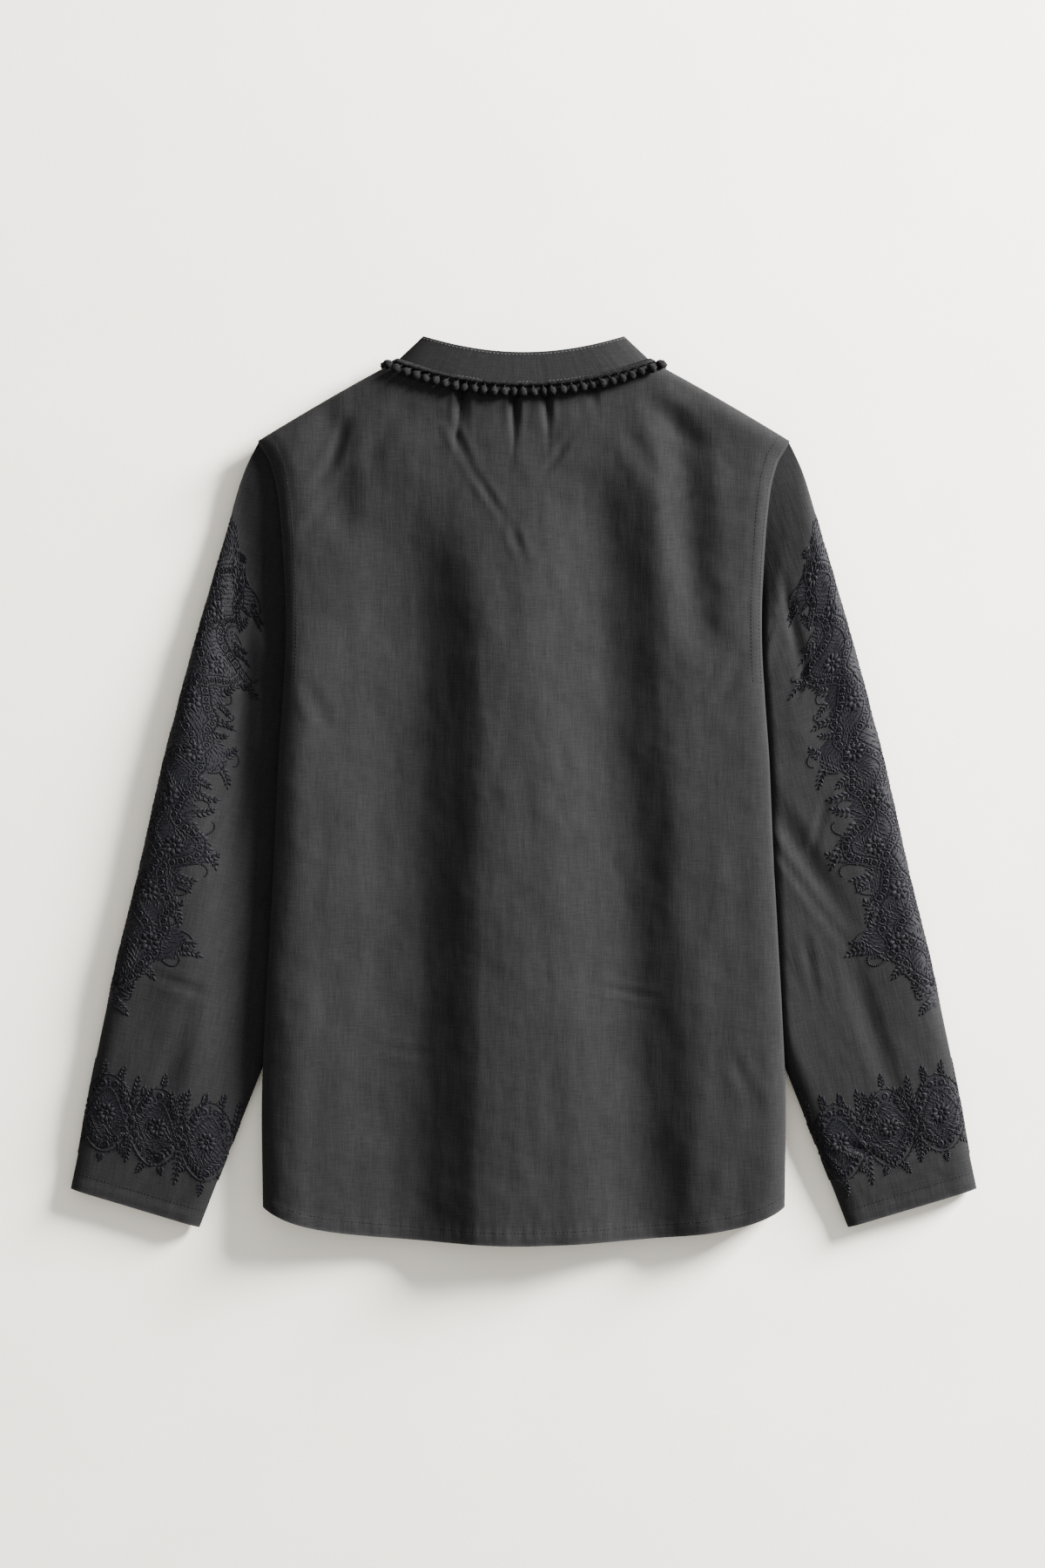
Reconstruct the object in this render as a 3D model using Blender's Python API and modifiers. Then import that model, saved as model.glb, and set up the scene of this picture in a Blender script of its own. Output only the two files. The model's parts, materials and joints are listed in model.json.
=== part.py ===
"""Embroidered linen shirt with a band collar and pompom trim, laid face down.

Lengths below are in millimetres and become metres when a point is placed. The shirt lies on its fronts on the
surface z = 0 with its back up: +X is the wearer's right, +Y the collar, +Z away from the surface.
Each cut piece is a grid of cloth, shaped by the functions below and given its wall by Solidify.
"""

import math
from collections import namedtuple

import bmesh
import bpy
from mathutils import Vector

MM = 0.001
MIDDLE_Y = -1.35  # the laid shirt's middle, which becomes the origin
WALL = 1.2  # cloth wall
GAP = 0.3  # between two pieces that touch
SHOULDER_GAP = 1.1  # between back and front at the shoulder seam
TIP_GAP = 0.9  # and this much more at the shoulder tip
SIDE_GAP = 1.0  # and at the side seam
ARMHOLE_GAP = 0.9  # and between a sleeve and the body
ARMHOLE_OUT = (0.94, -0.34)  # the way out of the right armhole, in plan

NECK_HALF = 100.0  # centre back to the side neck point
NECK_SIDE_Y = 339.8
NECK_BACK_Y = 322.2
NECK_FRONT_Y = 247.0
NECK_FRONT_POWER = 2.4
TIP_X, TIP_Y = 210.7, 276.0  # shoulder tip
SHOULDER_BOW = 1.2
SHOULDER_RIM = 12.0  # roundness of the fold along the shoulder
SIDE_RIM = 18.0  # roundness of the fold down each side
UNDERARM_Y = 82.0
SIDE_HEM_Y = -331.0
CENTRE_HEM_Y = -361.0
HEM_CURVE, HEM_CORNER = 15.0, 15.0  # how much the hem rises evenly towards the sides, and more at their corners
FRONT_HEM_RISE = 12.0  # the fronts are cut this much shorter

TOP_HEIGHT = 24.0  # the back panel above the surface
TOP_FALL = 2.5  # how much lower it is beside the sides
NECK_MID_HEIGHT = 14.0  # the fold at the side neck
STEP = 16.0  # how wide the fronts' rise over each sleeve is

COLLAR_TOP_HALF = 79.5
COLLAR_TOP_SIDE_Y = 358.3
COLLAR_TOP_BACK_Y = 345.3
COLLAR_TOP_FRONT_Y = 275.0
COLLAR_TOP_BACK_HEIGHT = 25.0
COLLAR_TOP_SIDE_HEIGHT = 20.0
COLLAR_WALL = 1.6
COLLAR_GAP = 0.9  # between the collar and the neck seam
COLLAR_END_X = 0.5  # half of the opening between the collar's ends

NECK_LIFT = 8.8  # the fronts' neck edge lies on the pompoms
NECK_LIFT_FLAT, NECK_LIFT_END = 15.0, 48.0
BUTTON_RADIUS, BUTTON_THICK = 5.0, 2.0
BUTTON_TOP_Y, BUTTON_PITCH, BUTTON_COUNT = 240.0, 82.0, 7
PLACKET_HALF = 12.5
PLACKET_LIFT = BUTTON_THICK + GAP
PLACKET_EASE = 22.0  # over which the fronts come down beside the placket
UNDER_EDGE = 12.0  # the left front's edge, which lies under the placket
UNDER_LIFT = WALL + GAP

TAPE_NEAR, TAPE_FAR, TAPE_THICK = 0.9, 3.9, 1.0  # the trim's tape, out from the neck seam
TRIM_START_X = 15.0  # the trim ends this far from centre front
POMPOM_PITCH = 7.9

Stage = namedtuple("Stage", "out lift half_along half_high")
# A pompom's sections: how far out from the neck seam, its middle over the panel, and its half sizes.
POMPOM = (
    Stage(4.8, 1.9, 0.8, 0.6),
    Stage(7.3, 4.2, 3.2, 2.9),
    Stage(10.5, 4.3, 2.9, 2.9),
)
POMPOM_TIP_OUT, POMPOM_TIP_LIFT = 12.2, 4.2
CURVE_SAMPLES = 600  # along the neck, to space the pompoms
TINY_TURN, TINY_STEP = 0.002, 0.5  # along the neck and out from it, to find directions there

SideRow = namedtuple("SideRow", "y half_width wrap_deg mid_height low_height")
# Down the body's side: the visible edge, how far the back panel wraps under it, and the wrap's heights.
SIDE = (
    SideRow(276.0, 210.7, 0.0, 14.0, 10.5),
    SideRow(259.0, 201.5, -12.0, 14.6, 10.5),
    SideRow(239.0, 196.0, -24.0, 15.2, 10.5),
    SideRow(211.0, 192.6, -36.0, 15.8, 10.5),
    SideRow(177.0, 190.2, -50.0, 16.4, 10.4),
    SideRow(142.0, 188.6, -66.0, 16.8, 10.2),
    SideRow(110.0, 188.8, -81.0, 17.0, 10.0),
    SideRow(82.0, 190.4, -90.0, 17.0, 10.0),
    SideRow(24.0, 194.4, -90.0, 17.0, 10.0),
    SideRow(-50.0, 197.6, -90.0, 16.8, 10.0),
    SideRow(-121.0, 201.5, -90.0, 16.4, 10.0),
    SideRow(-190.0, 205.4, -90.0, 15.0, 9.6),
    SideRow(-250.0, 207.8, -90.0, 12.6, 6.0),
    SideRow(-331.0, 207.2, -90.0, 9.6, 2.4),
)

Fold = namedtuple("Fold", "x_top x_bottom y_top y_bottom depth left right fade")
# Soft folds of the back panel, from photographed light and shade. A negative depth is a ridge.
FOLDS = (
    Fold(-84.0, -90.0, 262.0, -460.0, 11.7, 92.0, 54.0, 140.0),
    Fold(-26.0, -22.0, 200.0, -460.0, -3.0, 40.0, 60.0, 90.0),
    Fold(56.0, 106.0, 300.0, -460.0, 10.0, 66.0, 50.0, 120.0),
    Fold(120.0, 142.0, 318.0, 96.0, 4.5, 26.0, 28.0, 46.0),
    Fold(-152.0, -148.0, 318.0, 190.0, 3.0, 24.0, 26.0, 40.0),
    Fold(-176.0, -184.0, 160.0, -460.0, -2.0, 30.0, 22.0, 90.0),
)

Gather = namedtuple("Gather", "x depth half_width length")
# Gathers of the back panel under the collar.
GATHERS = (
    Gather(-47.6, 2.4, 8.0, 58.0),
    Gather(-33.0, 1.4, 7.0, 34.0),
    Gather(-7.2, 2.4, 8.0, 52.0),
    Gather(18.1, 2.0, 8.0, 46.0),
    Gather(53.8, 1.2, 9.0, 34.0),
)

SleeveRow = namedtuple("SleeveRow", "outer_x outer_y inner_x inner_y edge_height height")
# Down the right sleeve: its outer fold, its underarm fold, and its heights. The left one mirrors it.
SLEEVE = (
    SleeveRow(210.7, 276.0, 172.4, 82.0, 14.0, 14.0),
    SleeveRow(221.8, 251.2, 170.5, 75.0, 11.5, 16.5),
    SleeveRow(232.9, 214.1, 167.0, 66.0, 10.0, 18.0),
    SleeveRow(245.2, 172.5, 162.0, 54.0, 9.0, 18.5),
    SleeveRow(257.4, 130.4, 156.5, 40.0, 8.5, 18.5),
    SleeveRow(267.1, 95.6, 151.0, 24.0, 8.5, 18.5),
    SleeveRow(276.3, 60.7, 147.0, 5.0, 8.5, 18.5),
    SleeveRow(284.6, 29.0, 145.0, -18.0, 8.5, 18.5),
    SleeveRow(296.6, -22.8, 150.0, -60.0, 8.5, 18.5),
    SleeveRow(308.2, -75.2, 164.0, -110.0, 8.5, 18.0),
    SleeveRow(321.9, -130.2, 186.0, -166.0, 8.0, 17.5),
    SleeveRow(334.7, -189.3, 209.0, -224.6, 7.5, 16.5),
    SleeveRow(347.3, -250.5, 233.0, -285.0, 7.0, 14.5),
    SleeveRow(353.2, -284.3, 245.5, -316.5, 6.5, 13.0),
    SleeveRow(360.0, -317.0, 257.6, -347.8, 6.0, 12.0),
)
SLEEVE_RIM = 15.0
ROW_LENGTH = 44.0  # cloth from one row of SLEEVE to the next
UNDERARM_DROP = 1.1  # how far the sleeve dips under the body's edge at the underarm
DROP_START, DROP_EASE = 0.75, 0.2  # and from where on the armhole
UNDERARM_THICK, UNDERARM_ROUND = 3.4, 8.0
INNER_EDGE_RISE = 1.5
SLEEVE_INNER_EDGE_HEIGHT = 4.4
SLEEVE_THIN = 8.7  # where it lies under the body
UNDER_BODY_IN, UNDER_BODY_WIDTH = 7.0, 18.0  # where that thin part ends, from the body's edge
SETTLED_ROW = 2.0  # by this row a ring has left the armhole's own shape

SleeveFold = namedtuple("SleeveFold", "side row_a across_a row_b across_b depth width")
# Soft folds of the sleeves; across runs from the outer fold, 0, to the underarm fold, 1.
SLEEVE_FOLDS = (
    SleeveFold(1, 6.6, 0.72, 9.6, 0.36, 4.0, 15.0),
    SleeveFold(1, 9.4, 0.45, 12.2, 0.42, 2.4, 15.0),
    SleeveFold(1, 1.2, 0.40, 4.8, 0.36, 2.0, 10.0),
    SleeveFold(-1, 2.0, 0.34, 9.0, 0.48, 3.2, 14.0),
    SleeveFold(-1, 9.6, 0.50, 12.6, 0.46, 2.2, 15.0),
    SleeveFold(-1, 10.4, 0.16, 11.2, 0.58, 1.4, 9.0),
)

InnerEdge = namedtuple("InnerEdge", "y x")
# The sleeve's underarm fold again, as seen from the fronts that lie over it.
INNER_EDGE = (
    InnerEdge(300.0, 330.0),
    InnerEdge(116.0, 222.0),
    InnerEdge(98.0, 190.0),
    InnerEdge(82.0, 172.4),
    InnerEdge(54.0, 161.0),
    InnerEdge(24.0, 150.4),
    InnerEdge(-18.0, 144.6),
    InnerEdge(-60.0, 149.4),
    InnerEdge(-110.0, 163.2),
    InnerEdge(-166.0, 185.0),
    InnerEdge(-224.6, 208.0),
    InnerEdge(-285.0, 232.0),
    InnerEdge(-361.0, 262.0),
)

# Grid steps of the panels.
BACK_COLUMNS = (0, 5, 10, 15, 20, 26, 33, 40, 48, 56, 67, 80, 92, 100, 108, 124, 144, 168, 192.7)
ROWS_Y = (276, 275.2, 270.5, 264, 250, 232, 208, 178, 146, 122, 102, 82,
          52, 14, -28, -70, -114, -158, -202, -246, -290, -331)
RIM_STEPS = 4
FRONT_COLUMNS = (34.5, 54, 72, 85, 94, 100, 107, 122, 142, 166)  # where they meet the neck or the shoulder
FRONT_EDGE_COLUMNS = (PLACKET_HALF + 1.0, 24.0)  # beside centre front
FRONT_RISE_STEPS, FRONT_SIDE_STEPS = 4, 2
SEAM_ROOM = 4.0  # from the top of a front's rise to its seam, at least
RING_UNDER, RING_TOP = 9, 16
BUTTON_SIDES = 14
TRIM_GAP = 0.9
SLEEVE_RINGS = (0, 0.4, 1, 2, 3, 4, 5, 6, 7, 8, 9, 10, 11, 12, 13, 14)
COLLAR_ARC_STEPS, COLLAR_ROWS = 15, 3
TOP_FADE_Y = 20.0  # the rows lose the shoulder's slope above this
HEM_FADE_Y = -150.0  # and take up the hem's curve below this


def clamp(value, low=0.0, high=1.0):
    return max(low, min(high, value))


def smooth(value):
    """0 below 0, 1 above 1, and an S curve between."""
    t = clamp(value)
    return t * t * (3.0 - 2.0 * t)


def bump(value):
    """1 at 0, falling softly to 0 at -1 and 1."""
    return 0.5 + 0.5 * math.cos(math.pi * value) if abs(value) < 1.0 else 0.0


def round_in(distance, rim):
    """Height share of a rounded edge at this distance in from it."""
    t = clamp(distance / rim)
    return math.sqrt(1.0 - (1.0 - t) ** 2)


def cubic(before, start, end, after, t):
    """A smooth value between start and end."""
    slope_a, slope_b = (end - before) / 2.0, (after - start) / 2.0
    a = 2.0 * start - 2.0 * end + slope_a + slope_b
    b = 3.0 * (end - start) - 2.0 * slope_a - slope_b
    return ((a * t + b) * t + slope_a) * t + start


def read_row(table, column, place):
    """A table's column at a fractional row number."""
    last = len(table) - 1
    i = min(int(clamp(place, 0.0, last)), last - 1)
    picked = [getattr(table[min(max(k, 0), last)], column) for k in (i - 1, i, i + 1, i + 2)]
    return cubic(*picked, clamp(place, 0.0, last) - i)


def read(table, column, y):
    """A table's column at a height y on the garment; the rows run down."""
    for i in range(len(table) - 1):
        if y >= table[i + 1].y:
            break
    return read_row(table, column, i + clamp((table[i].y - y) / (table[i].y - table[i + 1].y)))


def shoulder_y(x):
    """The shoulder fold's line from the side neck point to the tip."""
    t = (abs(x) - NECK_HALF) / (TIP_X - NECK_HALF)
    return NECK_SIDE_Y + (TIP_Y - NECK_SIDE_Y) * t + SHOULDER_BOW * 4.0 * t * (1.0 - t)


def back_neck_y(x):
    return NECK_BACK_Y + (NECK_SIDE_Y - NECK_BACK_Y) * (abs(x) / NECK_HALF) ** 2


def front_neck_y(x):
    return NECK_FRONT_Y + (NECK_SIDE_Y - NECK_FRONT_Y) * (abs(x) / NECK_HALF) ** NECK_FRONT_POWER


def hem_y(x):
    r = min(1.0, abs(x) / read(SIDE, "half_width", SIDE_HEM_Y))
    return CENTRE_HEM_Y + HEM_CURVE * r ** 1.5 + HEM_CORNER * r ** 8


def neck_share(x):
    """1 at the neck's centre, falling to 0 where the neck edge folds over at its side."""
    return math.sqrt(max(0.0, 1.0 - (min(abs(x), NECK_HALF) / NECK_HALF) ** 5))


def top_height(x, y):
    """The back panel's outer height, with its folds and gathers."""
    z = TOP_HEIGHT - TOP_FALL * (x / TIP_X) ** 2
    for fold in FOLDS:
        down = clamp((fold.y_top - y) / (fold.y_top - fold.y_bottom))
        away = x - (fold.x_top + (fold.x_bottom - fold.x_top) * down)
        ends = smooth((fold.y_top - y) / fold.fade) * smooth((y - fold.y_bottom) / fold.fade)
        z -= fold.depth * ends * bump(away / (fold.right if away > 0 else fold.left))
    below_neck = back_neck_y(x) - y
    for gather in GATHERS:
        share = 1.0 - smooth(below_neck / gather.length)
        z -= gather.depth * share * bump((x - gather.x) / gather.half_width)
    return z


def neck_distance(x, y):
    """How far a point of the fronts is from their neck edge."""
    deep = NECK_SIDE_Y - NECK_FRONT_Y
    r = min(abs(x) / NECK_HALF, 1.5)
    value = r ** NECK_FRONT_POWER + (NECK_SIDE_Y - y) / deep - 1.0
    across = NECK_FRONT_POWER * r ** (NECK_FRONT_POWER - 1.0) / NECK_HALF
    return value / math.hypot(across, 1.0 / deep)


def rise_start(y):
    """Where the fronts start to rise over the sleeve."""
    start = read(INNER_EDGE, "x", y) - STEP
    if y < UNDERARM_Y:
        start = min(start, read(SIDE, "half_width", y) - SIDE_RIM - STEP - 2.0)
    return start


def front_height(x, y):
    """The fronts' outer height, which is their underside: flat on the surface but for what lies under them."""
    z = read(SIDE, "low_height", y) * smooth((abs(x) - rise_start(y)) / STEP)
    far = neck_distance(x, y)
    z += NECK_LIFT * (1.0 - smooth((far - NECK_LIFT_FLAT) / (NECK_LIFT_END - NECK_LIFT_FLAT)))
    beside = (abs(x) - PLACKET_HALF) / PLACKET_EASE
    return max(z, PLACKET_LIFT * (1.0 - smooth(beside)))


def row_y(hem_x, side_y, top_y, hem_rise=0.0):
    """Bends a row of a panel to the shoulder's or neck's line at its top and to the hem's at its foot."""
    top = smooth((side_y - TOP_FADE_Y) / (TIP_Y - SHOULDER_RIM - TOP_FADE_Y))
    foot = smooth((side_y - HEM_FADE_Y) / (SIDE_HEM_Y - HEM_FADE_Y))
    return side_y + (top_y - TIP_Y) * top + (hem_y(hem_x) + hem_rise - SIDE_HEM_Y) * foot


def wrap_angle(y):
    """How far round the side fold the back panel ends, below the level."""
    return math.radians(clamp(read(SIDE, "wrap_deg", y), -90.0, 0.0))


def seam_x(y):
    """Where the back panel ends at the armhole and the side seam."""
    return read(SIDE, "half_width", y) - SIDE_RIM * (1.0 - math.cos(wrap_angle(y)))


def shoulder_share(below):
    """How much of the full height the cloth has this far below the shoulder fold."""
    return round_in(below, SHOULDER_RIM)


def top_share(x, below):
    """The height share at the shoulder fold or the neck edge; x is where the column meets that edge."""
    return 1.0 - (1.0 - shoulder_share(below)) * (1.0 - neck_share(x))


def back_top_y(x):
    return back_neck_y(x) if abs(x) < NECK_HALF else shoulder_y(x)


def front_top_y(x):
    return front_neck_y(x) if abs(x) < NECK_HALF else shoulder_y(x)


def back_point(across, side_y):
    """A point of the back panel: across runs from centre back, 0, over the flat, 1, round the side fold, 2."""
    half, rim = read(SIDE, "half_width", side_y), SIDE_RIM
    sign, across = math.copysign(1.0, across), abs(across)
    flat, turn = min(across, 1.0), clamp(across - 1.0)
    angle = math.pi / 2.0 - (math.pi / 2.0 - wrap_angle(side_y)) * turn
    x = flat * (half - rim) + rim * (math.cos(angle) if turn > 0.0 else 0.0)
    x_top = flat * (TIP_X - rim) + rim * math.sin(math.pi / 2.0 * turn)
    y = row_y(half if angle < 0.0 else x, side_y, back_top_y(x_top))
    mid = read(SIDE, "mid_height", side_y)
    if angle >= 0.0:
        full = mid + (top_height(sign * x, y) - mid) * top_share(x_top, TIP_Y - side_y)
        z = mid + (full - mid) * math.sin(angle)
    else:
        z = mid + (mid - read(SIDE, "low_height", side_y)) * math.sin(angle)
    return Vector((sign * x, y, z))


def front_columns(part, side_y, inner_x):
    """A front's column in x.

    part runs from its edge, 0, past the placket, 1, over the flat, 2, and the rise, 3, to the seam, 4.
    """
    seam = seam_x(side_y)
    start = min(rise_start(side_y), seam - STEP - SEAM_ROOM)
    stops = (inner_x, PLACKET_HALF + PLACKET_EASE, start, start + STEP, seam)
    i = min(int(part), 3)
    return stops[i] + (stops[i + 1] - stops[i]) * (part - i)


def front_point(x, x_top, side_y):
    """A point of the fronts at this x; x_top is where its column meets the shoulder or the neck."""
    hem_x = abs(x) * read(SIDE, "half_width", side_y) / seam_x(side_y)
    rise = FRONT_HEM_RISE * (1.0 - smooth(hem_x / TIP_X))
    y = row_y(hem_x, side_y, front_top_y(x_top), rise)
    mid = read(SIDE, "mid_height", side_y)
    share = top_share(x_top, TIP_Y - side_y)
    return Vector((x, y, mid + (front_height(x, y) - mid) * share))


def armhole(t):
    """The armhole from the shoulder tip, 0, to the underarm, 1: its place and its two heights."""
    y = TIP_Y + (UNDERARM_Y - TIP_Y) * t
    x = seam_x(y)
    mid, low = read(SIDE, "mid_height", y), read(SIDE, "low_height", y)
    over = mid + (mid - low) * math.sin(wrap_angle(y)) - UNDERARM_DROP * smooth((t - DROP_START) / DROP_EASE)
    under = mid + (front_height(x, y) - mid) * shoulder_share(TIP_Y - y)
    thick = UNDERARM_THICK * round_in((1.0 - t) * (TIP_Y - UNDERARM_Y), UNDERARM_ROUND)
    return x, y, over, min(under, over - thick) if t > 0.5 else under


def sleeve_folds(side, row, t, wide):
    """How deep the folds are at a place on a sleeve."""
    deep = 0.0
    for fold in SLEEVE_FOLDS:
        if fold.side != side:
            continue
        along = Vector(((fold.row_b - fold.row_a) * ROW_LENGTH, (fold.across_b - fold.across_a) * wide))
        off = Vector(((row - fold.row_a) * ROW_LENGTH, (t - fold.across_a) * wide))
        f = clamp(off.dot(along) / along.length_squared)
        near = (off - along * f).length
        deep += fold.depth * bump(near / fold.width) * bump((2.0 * f - 1.0) * 0.9)
    return deep


def sleeve_point(side, row, t, on_top):
    """A point of a sleeve at a fractional row of SLEEVE; t runs from the outer fold to the underarm fold."""
    outer = Vector((read_row(SLEEVE, "outer_x", row), read_row(SLEEVE, "outer_y", row)))
    inner = Vector((read_row(SLEEVE, "inner_x", row), read_row(SLEEVE, "inner_y", row)))
    wide = (outer - inner).length
    place = outer.lerp(inner, t)
    settled = smooth(row / SETTLED_ROW)
    seam_place_x, seam_place_y, over, under = armhole(t)
    first = SLEEVE[0]
    chord = Vector((first.outer_x, first.outer_y)).lerp(Vector((first.inner_x, first.inner_y)), t)
    place += (Vector((seam_place_x, seam_place_y)) - chord) * (1.0 - settled)
    place += Vector(ARMHOLE_OUT) * ARMHOLE_GAP * (1.0 - settled)
    outside = smooth((place.x - read(SIDE, "half_width", place.y) + UNDER_BODY_IN) / UNDER_BODY_WIDTH)
    edge_mid = read_row(SLEEVE, "edge_height", row)
    edge_mid += (SLEEVE_INNER_EDGE_HEIGHT + INNER_EDGE_RISE * outside - edge_mid) * smooth(t)
    share = round_in(t * wide, SLEEVE_RIM) * round_in((1.0 - t) * wide, SLEEVE_RIM)
    if on_top:
        full = SLEEVE_THIN + (read_row(SLEEVE, "height", row) - SLEEVE_THIN) * outside
        full -= sleeve_folds(side, row, t, wide) * outside
        z = edge_mid + (full - edge_mid) * share
        z += (over - z) * (1.0 - settled)
    else:
        z = edge_mid * (1.0 - share)
        z += (under - z) * (1.0 - settled)
    return Vector((side * place.x, place.y, z))


def sheet_height(x, y, behind):
    """The outer height of the back or of the fronts near the neck and the shoulder fold."""
    below = (back_top_y(x) if behind else front_top_y(x)) - y
    full = top_height(x, y) if behind else front_height(x, y)
    return NECK_MID_HEIGHT + (full - NECK_MID_HEIGHT) * top_share(x, max(0.0, below))


def neck_loop(f, out=0.0):
    """A line round the neck on the panels, this far out from the seam.

    f is 0 at centre front, 0.5 at centre back and 1 at centre front again, by +X first.
    """
    sign, g = (1.0, f) if f <= 0.5 else (-1.0, 1.0 - f)
    half = NECK_HALF + out
    side = shoulder_y(half)
    behind = g >= 0.25
    x = half * math.sin(2.0 * math.pi * (0.5 - g if behind else g))
    foot = (NECK_BACK_Y if behind else NECK_FRONT_Y) - out
    y = foot + (side - foot) * (x / half) ** (2.0 if behind else NECK_FRONT_POWER)
    return Vector((sign * x, y, sheet_height(sign * x, y, behind)))


def collar_top(f):
    """The collar's top edge, by the same f as the neck seam."""
    sign, g = (1.0, f) if f <= 0.5 else (-1.0, 1.0 - f)
    behind = g >= 0.25
    r = math.sin(2.0 * math.pi * (0.5 - g if behind else g))
    share = math.sqrt(max(0.0, 1.0 - r ** 4))
    if behind:
        y = COLLAR_TOP_BACK_Y + (COLLAR_TOP_SIDE_Y - COLLAR_TOP_BACK_Y) * r * r
        z = COLLAR_TOP_SIDE_HEIGHT + (COLLAR_TOP_BACK_HEIGHT - COLLAR_TOP_SIDE_HEIGHT) * share
    else:
        y = COLLAR_TOP_FRONT_Y + (COLLAR_TOP_SIDE_Y - COLLAR_TOP_FRONT_Y) * r ** NECK_FRONT_POWER
        z = COLLAR_TOP_SIDE_HEIGHT * (1.0 - share)
    return Vector((sign * COLLAR_TOP_HALF * r, y, z))


def collar_point(f, up):
    """A point of the collar band, from just above its seam, 0, to its top edge, 1."""
    foot, top = neck_loop(f), collar_top(f)
    foot += (top - foot).normalized() * COLLAR_GAP
    return foot.lerp(top, up)


def trim_frame(f, out):
    """The place on the panels round the neck, the way along the trim, out from the seam, and off the cloth."""
    here = neck_loop(f, out)
    along = neck_loop(min(f + TINY_TURN, 1.0), out) - neck_loop(max(f - TINY_TURN, 0.0), out)
    along.normalize()
    away = (neck_loop(f, out + TINY_STEP) - neck_loop(f, max(out - TINY_STEP, 0.0))).normalized()
    off = along.cross(away).normalized()
    return here, along, away, -off if off.dot(off_cloth(f)) < 0.0 else off


def off_cloth(f):
    """Roughly the way off the cloth: up at the back, along +Y at the side neck, down at the front."""
    turn = 2.0 * math.pi * f
    return Vector((0.0, abs(math.sin(turn)), -math.cos(turn)))


def evenly(curve, low, high, pitch):
    """Values of f along a curve, evenly spaced by its length."""
    count = CURVE_SAMPLES
    values = [low + (high - low) * i / count for i in range(count + 1)]
    length = [0.0]
    for a, b in zip(values, values[1:]):
        length.append(length[-1] + (curve(b) - curve(a)).length)
    parts = round(length[-1] / pitch)
    picked, k = [], 0
    for n in range(parts + 1):
        while k < count - 1 and length[k + 1] < length[-1] * n / parts:
            k += 1
        span = length[k + 1] - length[k]
        picked.append(values[k] + (values[k + 1] - values[k]) * (length[-1] * n / parts - length[k]) / span)
    return picked


def material(name, colour, rough):
    made = bpy.data.materials.new(name)
    made.use_nodes = True
    shader = made.node_tree.nodes["Principled BSDF"]
    shader.inputs["Base Color"].default_value = (*colour, 1.0)
    shader.inputs["Roughness"].default_value = rough
    shader.inputs["Metallic"].default_value = 0.0
    return made


def new_object(name, mesh, look, home):
    """Turns a bmesh into a named object with its material, about the shirt's middle."""
    bmesh.ops.translate(mesh, verts=mesh.verts, vec=Vector((0.0, -MIDDLE_Y * MM, 0.0)))
    data = bpy.data.meshes.new(name)
    mesh.to_mesh(data)
    mesh.free()
    data.materials.append(look)
    made = bpy.data.objects.new(name, data)
    home.objects.link(made)
    return made


def cloth(name, columns, rows, place, faces_up, look, home, wall=WALL, probe=None):
    """A grid of cloth with its corners at place(column, row), and its wall on the inner side.

    faces_up says whether the outer side faces up at the grid's column probe, by default the middle one.
    """
    mesh = bmesh.new()
    bmesh.ops.create_grid(mesh, x_segments=columns, y_segments=rows, size=0.5)
    for corner in mesh.verts:
        column = round((corner.co.x + 0.5) * columns)
        row = round((corner.co.y + 0.5) * rows)
        corner.co = place(column, row) * MM
    bmesh.ops.remove_doubles(mesh, verts=mesh.verts, dist=0.02 * MM)
    column, row = columns // 2 if probe is None else probe, rows // 2
    here = place(column, row)
    normal = (place(column + 1, row) - here).cross(place(column, row + 1) - here)
    if (normal.z > 0.0) != faces_up:
        bmesh.ops.reverse_faces(mesh, faces=mesh.faces)
    made = new_object(name, mesh, look, home)
    shell = made.modifiers.new("Wall", "SOLIDIFY")
    shell.thickness = wall * MM
    shell.offset = -1.0
    return made


def make_back(look, home):
    """The back panel, in one piece from seam to seam."""
    flat = [c / BACK_COLUMNS[-1] for c in BACK_COLUMNS]
    half = flat + [1.0 + k / RIM_STEPS for k in range(1, RIM_STEPS + 1)]
    columns = [-a for a in reversed(half[1:])] + half
    top = len(ROWS_Y) - 1

    def place(column, row):
        point = back_point(columns[column], ROWS_Y[top - row])
        if row == top and abs(point.x) > NECK_HALF - GAP:
            point.z += SHOULDER_GAP / 2.0 + TIP_GAP * clamp(abs(columns[column]) - 1.0)
        return point

    cloth("back", len(columns) - 1, top, place, True, look, home)


def make_front(name, side, inner_x, lift, look, home):
    """One front, from its edge near centre front to its side seam; lift raises it over the placket."""
    ease = PLACKET_HALF + PLACKET_EASE
    parts = [(x - inner_x) / (ease - inner_x) for x in (inner_x, *FRONT_EDGE_COLUMNS) if x >= inner_x]
    reach = front_columns(2.0, TIP_Y, inner_x) - ease
    parts += [1.0 + (x - ease) / reach for x in FRONT_COLUMNS]
    parts += [2.0 + k / FRONT_RISE_STEPS for k in range(FRONT_RISE_STEPS + 1)]
    parts += [3.0 + k / FRONT_SIDE_STEPS for k in range(1, FRONT_SIDE_STEPS + 1)]
    top = len(ROWS_Y) - 1

    def place(column, row):
        side_y, part = ROWS_Y[top - row], parts[column]
        x = front_columns(part, side_y, inner_x)
        x_top = front_columns(part, TIP_Y, inner_x)
        if column == len(parts) - 1:
            x -= SIDE_GAP
        point = front_point(side * x, side * x_top, side_y)
        if row == top and abs(x_top) > NECK_HALF - GAP:
            point.z -= SHOULDER_GAP / 2.0 + TIP_GAP * clamp(part - 3.0)
        point.z += lift * (1.0 - smooth((x - PLACKET_HALF - 1.0) / PLACKET_EASE))
        return point

    cloth(name, len(parts) - 1, top, place, False, look, home)


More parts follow.
